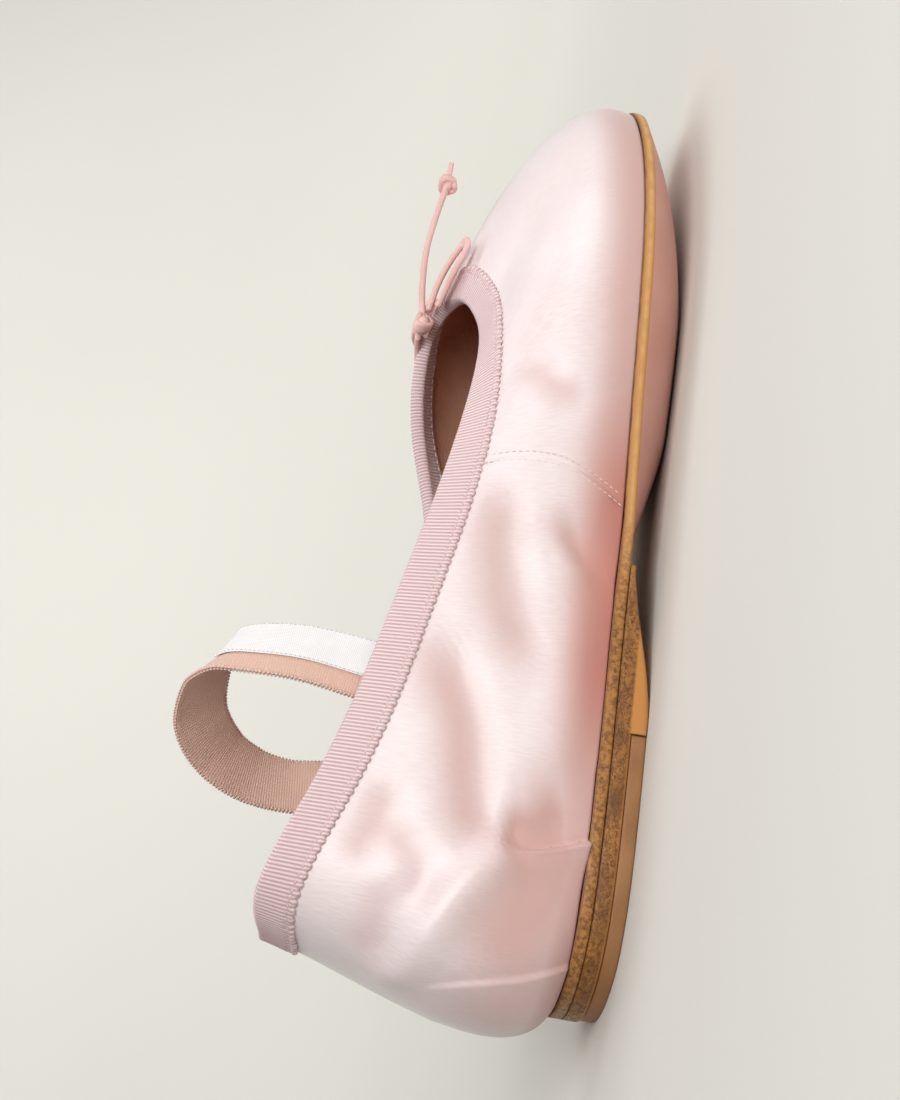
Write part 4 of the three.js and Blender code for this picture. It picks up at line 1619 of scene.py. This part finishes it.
        sole = self.plate(self.sole_bulge, None, under, lambda x, d: under(x, d) + thick, self.sole_bulge)
        stack = self.plate(
            self.heel_inset - self.stack_out, self.stack_length, stack_under,
            lambda x, d: under(x, d) - gap / 2, self.stack_bulge, (self.lift_length + gap,),
        )
        lift = self.plate(
            self.heel_inset + self.lift_bulge, self.lift_length,
            lambda x, d: np.zeros_like(x) + rise * np.clip(1 - (d - self.heel_inset) / run, 0, 1),
            lambda x, d: np.full_like(x, self.lift_height), self.lift_bulge,
        )
        sock = self.plate(
            self.sock_inset, None, lambda x, d: under(x, d) + thick + gap, sock_top, self.sock_bulge,
        )
        faces = [finishes.edge, finishes.sole, finishes.lining]
        return [
            sole.piece("outsole_leather", "sole_leather", faces, ("outsole",)),
            stack.piece("heel_stack_leather", "stack_leather", [finishes.stack] * 3, ("heel_stack",)),
            lift.piece("heel_lift_rubber", "lift_rubber", [finishes.lift] * 3, ("heel_lift",)),
            sock.piece("sock_leather", "lining_leather", [finishes.sock] * 3, ("insole",)),
        ]


# Strap and label


@dataclass
class InstepStrap:
    """Slack loop of knitted elastic over the instep, with picot edges and a blank woven label."""

    width: float = 14.0
    thickness: float = 1.1
    across: int = 17
    measure_steps: int = 400
    overlock: Stitch = Stitch(0.85, 0.7, 0.22)  # one for each picot
    overlock_inset: float = 0.12
    overlock_lift: float = 0.28  # in thicknesses
    picot: float = 0.22
    picot_inset: float = 0.35
    steps_per_picot: int = 6
    edge_radius: float = 0.5
    edge_share: float = 0.35
    rope: float = 0.14  # height of the thicker line inside each edge
    rope_inset: float = 0.55
    rope_width: float = 0.4
    label_width: float = 9.0
    label_thickness: float = 0.5
    label_gap: float = 0.16
    label_edge_radius: float = 0.6
    label_edge_share: float = 0.6
    label_stitch: Stitch = Stitch(1.0, 0.6, 0.13)
    label_stitch_inset: float = 0.35
    label_shift: float = 2.5
    label_share: tuple[float, float] = (5 / 44, 18.6 / 44)
    route: Array = field(default_factory=lambda: np.array([
        # x, y, z, heading and lean of the width in degrees
        [64.2, -23.6, 38, -3, 0], [64.5, -23.2, 46, -2, 0], [65, -22, 54, 0, 0], [65.9, -21.2, 61.4, 4, 0],
        [67, -20.3, 67.4, 8, 1], [67.8, -19.8, 75, 13, 4], [67.8, -18.6, 82.8, 18, 10], [67.6, -15.6, 90, 21, 22],
        [66.2, -12, 93, 22, 34], [64.4, -8, 94.6, 20, 42], [58.9, 1, 95.2, 20, 46], [55.9, 6, 93.2, 20, 44],
        [53.6, 11, 89.6, 20, 38], [52.3, 14, 86.2, 19, 30], [51.4, 18, 80, 18, 20], [51.4, 20.2, 73.2, 16, 12],
        [52, 20.4, 66.4, 8, 5], [52.6, 20.2, 60, 2, 2], [52.8, 22.2, 52, 0, 0], [53, 23.7, 45, -2, 0],
    ], float))

    def __post_init__(self) -> None:
        """Lay the band's middle line and directions."""
        places = self.route[:, :3]
        length = float(run_length(smooth_route(places, self.measure_steps))[-1])
        self.path = smooth_route(places, round(length / self.overlock.pitch) * self.steps_per_picot + 1)
        self.along = run_length(self.path)
        chords = run_length(places)
        share, known = self.along / self.along[-1], chords / chords[-1]
        heading, lean = (np.radians(np.interp(share, known, self.route[:, k])) for k in (3, 4))
        wide = np.stack([np.cos(lean) * np.cos(heading), np.cos(lean) * np.sin(heading), -np.sin(lean)], axis=1)
        _, self.wide, self.out = band_frames(self.path, wide)

    def band(self, span: slice, low: Array, high: Array, inner: float, outer: Array) -> Skin:
        """Flat band between two edges.

        Args:
            span: the stretch of the path that it covers.
            low: distance of its lower edge from the middle line, per step.
            high: distance of its upper edge.
            inner: offset of its inner face.
            outer: offset of its outer face over the width.

        Returns:
            Closed skin.
        """
        share = crowded(self.across)
        place = low[:, None] * (1 - share) + high[:, None] * share
        place = np.concatenate([place, place[:, ::-1]], axis=1)
        lift = np.concatenate([outer, inner + (outer.max() - outer[::-1])])
        grid = (self.path[span][:, None] + self.wide[span][:, None] * place[..., None]
                + self.out[span][:, None] * lift[None, :, None])
        weave = np.stack(np.broadcast_arrays(self.along[span][:, None], place), axis=-1)
        return Skin.of_grid(grid, weave, wrap_columns=True, close_ends=True)

    def build(self, finishes: Finishes) -> list[bpy.types.Object]:
        """Make the strap with its overlocked edges, the label and its stitches.

        Args:
            finishes: the shoe's finishes.

        Returns:
            The pieces.
        """
        beads = np.abs(np.sin(math.pi * np.arange(len(self.path)) / self.steps_per_picot))
        half = self.width / 2 - self.picot_inset + self.picot * beads
        share = crowded(self.across)
        edge = np.minimum(share, 1 - share) * self.width
        rope = self.rope * bell(edge - self.rope_inset, self.rope_width)
        outer = self.thickness / 2 * rounded_off(edge, self.edge_radius, self.edge_share) + rope
        strap = self.band(slice(0, len(self.path)), -half, half, -self.thickness / 2, outer)
        pieces = [strap.piece("instep_strap_elastic", "elastic", [finishes.elastic], ("instep_strap",))]
        start, end = (round(s * (len(self.path) - 1)) for s in self.label_share)
        span = slice(start, end + 1)
        middle = np.full(end + 1 - start, self.label_shift)
        base = self.thickness / 2 + self.label_gap
        swell = base + self.label_thickness * rounded_off(edge, self.label_edge_radius, self.label_edge_share)
        label = self.band(span, middle - self.label_width / 2, middle + self.label_width / 2, base, swell)
        pieces.append(label.piece("strap_label_weave", "white_weave", [finishes.label], ("strap_label",)))
        pieces.append(self.edging(finishes))
        pieces.append(self.label_stitches(span, finishes))
        return pieces

    def edging(self, finishes: Finishes) -> bpy.types.Object:
        """Make the overlock loops along both edges of the strap.

        Args:
            finishes: the shoe's finishes.

        Returns:
            The loops.
        """
        rows = []
        for way in (-1, 1):
            line = self.path + self.wide * way * (self.width / 2 - self.overlock_inset)
            for face in (-1, 1):
                lifted = line + self.out * face * self.thickness * self.overlock_lift
                rows.append(stitch_skin(lifted, self.out * face + self.wide * way, self.overlock))
        return Skin.merged(rows).piece("strap_edging", "elastic", [finishes.nude_thread])

    def label_stitches(self, span: slice, finishes: Finishes) -> bpy.types.Object:
        """Make the fine stitches that hold the label's two edges.

        Args:
            span: the stretch of the path that the label covers.
            finishes: the shoe's finishes.

        Returns:
            The stitches.
        """
        rows = []
        lift = self.thickness / 2 + self.label_gap + self.label_thickness
        for way in (-1, 1):
            place = self.label_shift + way * (self.label_width / 2 - self.label_stitch_inset)
            line = self.path[span] + self.wide[span] * place + self.out[span] * lift
            rows.append(stitch_skin(line, self.out[span], self.label_stitch))
        return Skin.merged(rows).piece("label_stitches", "white_weave", [finishes.label_thread])


# Bow


@dataclass(frozen=True)
class Winding:
    """Sizes of lace wound round an axis over a filled core."""

    radius: tuple[float, float]  # level and upright
    turns: float
    pitch: float
    width: float
    thickness: float
    start: float = -2.2  # angle of the first point
    steps: int = 60  # per turn
    swell: float = 0.1
    lobes: int = 3
    core_rings: int = 9
    core_sides: int = 14
    core_cut: float = 0.12  # angle left off at each end of the core
    core_overhang: float = 0.42  # in widths of the lace


@dataclass
class LaceBow:
    """Bow of flat stitched lace at the throat: a knot, two loops and two ends with overhand knots."""

    width: float = 3.0
    thickness: float = 1.6
    sides: int = 16
    squareness: float = 0.75  # power that makes the section fuller than an ellipse
    channel: float = 0.22  # depth and width of the stitches' channel, in half sizes of the lace
    step: float = 0.45
    measure_steps: int = 200
    least_points: int = 16
    stitch: Stitch = Stitch(1.7, 1.1, 0.16)
    stitch_lift: float = 0.42  # in thicknesses
    knot_winding: Winding = Winding((1.9, 1.8), 1.55, 1.7, 2.8, 1.5)
    end_winding: Winding = Winding((1.75, 1.7), 1.5, 1.7, 2.6, 1.5)
    end_slant: Point = (0.0, 0.35, 0.25)
    end_knot: float = 2.7
    tip_points: int = 5  # points that give the direction of an end's tip
    tail: float = 4.5
    tail_start: float = 0.6
    tail_lift: Point = (0.0, 0.8, 0.6)
    tail_bow: Point = (0.0, 0.5, 0.0)
    tail_size: tuple[float, float] = (2.4, 1.4)
    tail_points: int = 16
    knot: Point = (170.5, 6.0, 59.4)
    loops: dict[str, tuple[Point, ...]] = field(default_factory=lambda: {
        "bow_loop_outer": (
            (173.2, 3.2, 58.6), (178.5, 0.2, 57.6), (183.8, -2.2, 55.8), (187.6, -3.9, 53.9), (188.6, -5.1, 53.1),
            (188.3, -6.6, 52.4), (186.9, -7.5, 52.0), (185.1, -7.3, 52.4), (179.5, -4.8, 54.5), (173.2, 0.4, 56.6),
        ),
        "bow_loop_inner": (
            (169.4, 9.2, 60), (168.8, 13.2, 59.6), (167.2, 17.6, 58.8), (164.8, 22.2, 57.2), (161, 26.4, 55.5),
            (155.2, 29.4, 54.2), (149.4, 31.6, 51.4), (142, 33.4, 47.9), (140.8, 34.2, 46.7), (141, 35, 45.3),
            (142.4, 35.7, 44.5), (144.1, 35.8, 44.7), (147.6, 35.7, 45.8), (154.4, 34.8, 48.6), (161.2, 33, 51.4),
            (167, 30, 53.6), (171.2, 25.6, 56.2), (172.6, 20.2, 58.8), (172.6, 15, 60.6), (172, 10.2, 60.8),
        ),
    })
    ends: dict[str, tuple[Point, ...]] = field(default_factory=lambda: {
        "bow_end_outer": (
            (174.2, 6, 60), (181, 5, 61), (191, 4, 61.4), (201, 3.6, 60.4), (209, 3.8, 59.2),
            (212, 4, 58.8),
        ),
        "bow_end_inner": (
            (174.4, 8.6, 59.8), (178.4, 12.4, 59), (182.2, 16.4, 57.8), (185, 20, 56.6),
        ),
    })

    def strand(self, path: Array, width: float, thickness: float) -> Skin:
        """Lace that lies flat along a path.

        Args:
            path: middle line.
            width: width of the lace.
            thickness: thickness of the lace.

        Returns:
            Closed skin.
        """
        ahead = unit(np.gradient(path, axis=0))
        return self.tube(path, unit(np.cross(UP, ahead)), width, thickness)

    def tube(self, path: Array, wide: Array, width: float, thickness: float) -> Skin:
        """Lace along a path, with a shallow channel for its stitches on top.

        Args:
            path: middle line.
            wide: direction of the width at each point.
            width: width of the lace.
            thickness: thickness of the lace.

        Returns:
            Closed skin.
        """
        ahead, across, _ = band_frames(path, wide)
        off = np.cross(ahead, across)
        angle = (np.arange(self.sides) + 0.5) * 2 * math.pi / self.sides
        flat, tall = (np.sign(part) * np.abs(part) ** self.squareness for part in (np.cos(angle), np.sin(angle)))
        tall = tall - np.where(tall > 0, self.channel * bell(flat, self.channel), 0.0)
        grid = (path[:, None] + across[:, None] * (flat * width / 2)[None, :, None]
                + off[:, None] * (tall * thickness / 2)[None, :, None])
        run = np.broadcast_to(run_length(path)[:, None], grid.shape[:2])
        weave = np.stack([run, np.broadcast_to(angle * width / 3, grid.shape[:2])], axis=-1)
        return Skin.of_grid(grid, weave, wrap_columns=True, close_ends=True)

    def lay(self, route: tuple[Point, ...]) -> Array:
        """Evenly spaced points along a route."""
        length = run_length(smooth_route(np.array(route), self.measure_steps))[-1]
        return smooth_route(np.array(route), max(self.least_points, round(length / self.step)))

    def stitched(self, path: Array) -> Skin:
        """Stitches along the top of a strand.

        Args:
            path: middle line of the strand.

        Returns:
            Skin of the stitches.
        """
        ahead = unit(np.gradient(path, axis=0))
        off = unit(UP - ahead * ahead[:, 2:3])
        return stitch_skin(path + off * self.thickness * self.stitch_lift, off, self.stitch)

    def declare(self, path: Array, parts: list[bpy.types.Object], far_end: str) -> None:
        """Work out the length of a strand's middle line in the part's frame; nothing is kept.

        Args:
            path: its middle line in stations.
            parts: the strand, then the pieces on it.
            far_end: what is on its far end. Not used.
        """
        points = to_part(path)
        float(run_length(points)[-1])
        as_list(parts[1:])

    def wound(self, centre: Array, axis: Array, winding: Winding) -> Skin:
        """Lace wound round an axis, over a filled core.

        Args:
            centre: middle of the winding.
            axis: direction that it is wound round.
            winding: its sizes.

        Returns:
            Skin of the winding and its core.
        """
        axis = unit(axis)
        across = unit(np.cross(UP, axis))
        level, upright = across * winding.radius[0], np.cross(axis, across) * winding.radius[1]
        reach = winding.turns * winding.pitch / 2
        angle = np.linspace(0, 2 * math.pi * winding.turns, int(winding.steps * winding.turns)) + winding.start
        run = np.linspace(-reach, reach, len(angle))[:, None]
        swell = 1 + winding.swell * np.sin(winding.lobes * angle)[:, None]
        path = centre + axis * run + (level * np.cos(angle)[:, None] + upright * np.sin(angle)[:, None]) * swell
        lace = self.tube(path, np.broadcast_to(axis, path.shape), winding.width, winding.thickness)
        polar = np.linspace(winding.core_cut, math.pi - winding.core_cut, winding.core_rings)[:, None]
        around = (np.arange(winding.core_sides) * 2 * math.pi / winding.core_sides)[None]
        core = (np.cos(polar)[..., None] * axis * (reach + winding.width * winding.core_overhang)
                + (np.sin(polar) * np.cos(around))[..., None] * level
                + (np.sin(polar) * np.sin(around))[..., None] * upright)
        weave = np.stack(np.broadcast_arrays(polar * 2, around * 2), axis=-1)
        return Skin.merged([lace, Skin.of_grid(centre + core, weave, wrap_columns=True, close_ends=True)])

    def build(self, finishes: Finishes) -> list[bpy.types.Object]:
        """Args:
            finishes: the shoe's finishes.

        Returns:
            The pieces.
        """
        span = np.array(self.loops["bow_loop_outer"][0]) - np.array(self.loops["bow_loop_inner"][0])
        knot = self.wound(np.array(self.knot), span, self.knot_winding)
        pieces = [knot.piece("bow_knot_lace", "lace_leather", [finishes.lace], ("bow_knot",))]
        strands = {}
        for name, route in {**self.loops, **self.ends}.items():
            is_end = name in self.ends
            path = self.lay((self.knot, *route) if is_end else route)
            lace = self.strand(path, self.width, self.thickness).piece(
                name + "_lace", "lace_leather", [finishes.lace], (name,))
            sewn = self.stitched(path).piece(name + "_stitches", "lace_leather", [finishes.pink_thread])
            parts = [lace, sewn]
            if is_end:
                parts.append(self.overhand(path).piece(name + "_knot", "lace_leather", [finishes.lace]))
            strands[name] = (path, parts)
            pieces += parts
        self.declare(*strands["bow_loop_outer"], "object")
        self.declare(*strands["bow_end_outer"], "knot")
        path, parts = strands["bow_loop_inner"]
        self.declare(path, parts + strands["bow_end_inner"][1], "object")
        return pieces

    def overhand(self, path: Array) -> Skin:
        """Overhand knot at the tip of an end, with its short tail.

        Args:
            path: middle line of the end.

        Returns:
            Skin of the knot.
        """
        end = path[-1]
        ahead = unit(end - path[-1 - self.tip_points])
        lump = self.wound(end, ahead + self.end_slant, self.end_winding)
        start = end + ahead * self.tail_start
        tip = end + ahead * (self.end_knot + self.tail) + self.tail_lift
        tail = smooth_route(np.stack([start, (start + tip) / 2 + self.tail_bow, tip]), self.tail_points)
        return Skin.merged([lump, self.strand(tail, *self.tail_size)])


# Camera, light and floor


@dataclass(frozen=True)
class SoftLight:
    """Soft light, with its places and face in metres, its power in watts and its display colour."""

    name: str
    place: Point
    target: Point
    size: tuple[float, float]
    power: float
    colour: Colour

    def hang(self) -> None:
        """Hang the light and turn it to its target."""
        data = bpy.data.lights.new(self.name, "AREA")
        data.shape = "RECTANGLE"
        data.size, data.size_y = self.size
        data.energy = self.power
        data.color = linear(self.colour)[:3]
        back = unit(np.array(self.place) - np.array(self.target))
        right = unit(np.cross(UP, back))
        turn_to(add_object(self.name, data), np.array(self.place), right, np.cross(back, right))


@dataclass
class Studio:
    """Plain pale sweep, soft light and a camera at the photograph's angle to the shoe."""

    azimuth: float = -27.69
    elevation: float = 5.73
    roll: float = -80.0
    distance: float = 479.6
    focal_px: float = 1763.4
    image: tuple[int, int] = (900, 1100)
    sensor: float = 36.0
    aim: Point = (115.0, -20.0, 30.0)
    frame_middle: Point = (103.0, -10.0, 46.0)
    enlarge: float = 1.2
    near_clip: float = 0.01
    floor: Colour = (222, 220, 213)
    # sweep, in metres: front edge, start of the bend, its radius, top and half width
    sweep_front: float = -4.0
    sweep_bend: float = 0.5
    sweep_radius: float = 1.2
    sweep_top: float = 3.5
    sweep_half: float = 5.0
    bend_steps: int = 24
    glow: float = 0.16
    glow_colour: Colour = (250, 249, 247)
    lights: tuple[SoftLight, ...] = (
        SoftLight("overhead_softbox", (0.3, 0.35, 1.7), (0.3, 0.3, 0.0), (1.8, 1.8), 6.2, (255, 254, 252)),
        SoftLight("key_softbox", (-0.05, -0.78, 0.5), (0.08, 0.0, 0.04), (0.45, 0.45), 5.7, (255, 254, 253)),
        SoftLight("toe_softbox", (0.75, -0.5, 0.35), (0.04, 0.0, 0.07), (0.4, 0.4), 1.7, (255, 253, 252)),
        SoftLight("backdrop_softbox", (0.8, 0.5, 1.5), (1.1, 1.7, 0.6), (1.8, 1.8), 22.0, (255, 254, 253)),
    )

    def camera(self) -> bpy.types.Object:
        """Make the camera: the photograph's place and turn, aimed at the middle of the one shoe.

        Returns:
            The camera.
        """
        a, e, r = (math.radians(angle) for angle in (self.azimuth, self.elevation, self.roll))
        back = np.array([math.sin(a) * math.cos(e), -math.cos(a) * math.cos(e), math.sin(e)])
        right = np.array([math.cos(a), math.sin(a), 0.0])
        up = np.cross(back, right)
        upright = -math.sin(r) * right + math.cos(r) * up
        place = np.array(self.aim) + back * self.distance
        back = unit(place - np.array(self.frame_middle))
        upright = unit(upright - back * (upright @ back))
        data = bpy.data.cameras.new("photo_camera")
        data.sensor_width = self.sensor
        data.lens = self.focal_px * self.enlarge * self.sensor / max(self.image)
        data.clip_start = self.near_clip
        made = add_object("photo_camera", data)
        turn_to(made, to_part(place), np.cross(upright, back), upright)
        bpy.context.scene.camera = made
        return made

    def sweep(self) -> bpy.types.Object:
        """Make the floor and backdrop as one curved sheet.

        Returns:
            The sweep.
        """
        bend, radius = self.sweep_bend, self.sweep_radius
        line = [(self.sweep_front, 0.0), (bend, 0.0)]
        for k in range(1, self.bend_steps + 1):
            turn = k / self.bend_steps * math.pi / 2
            line.append((bend + radius * math.sin(turn), radius * (1 - math.cos(turn))))
        line.append((bend + radius, self.sweep_top))
        points = [(x, y, z) for y, z in line for x in (-self.sweep_half, self.sweep_half)]
        mesh = bpy.data.meshes.new("studio_sweep")
        mesh.from_pydata(points, [], quads(len(line), 2).tolist())
        mesh.polygons.foreach_set("use_smooth", np.ones(len(mesh.polygons), bool))
        bench = NodeBench("pale_sweep_paper", Roughness=0.9, Specular_IOR_Level=0.1)
        paper = bench.place(Source.OBJECT)
        tone = bench.noise(paper, 2.0, 1)
        deeper = tuple(part - 3 for part in self.floor)
        colour = bench.ramp(tone, [(0.3, deeper), (0.7, self.floor)])
        mesh.materials.append(bench.finish(colour, bench.noise(paper, 900, 2), 0.02))
        made = add_object("studio_sweep", mesh)
        return made

    def light_up(self) -> None:
        """Hang the lights and set the surrounding glow."""
        for light in self.lights:
            light.hang()
        world = bpy.data.worlds.new("studio_glow")
        world.use_nodes = True
        glow = world.node_tree.nodes["Background"]
        glow.inputs["Color"].default_value = linear(self.glow_colour)
        glow.inputs["Strength"].default_value = self.glow
        bpy.context.scene.world = world
        bpy.context.scene.view_settings.view_transform = "Standard"


def main() -> None:
    """Build the scene, one sub-assembly after another."""
    logging.basicConfig(level=logging.INFO, format="%(name)s: %(message)s")
    studio = Studio()
    studio.camera()
    last = Last()
    finishes = Finishes()
    assemblies = (LaceBow(), SatinUpper(last), CollarRibbon(last), SoleUnit(last), InstepStrap())
    for assembly in assemblies:
        for piece in assembly.build(finishes):
            LOG.info("%s: %d faces", piece.name, len(piece.data.polygons))
    studio.sweep()
    studio.light_up()


if __name__ == "__main__":
    main()
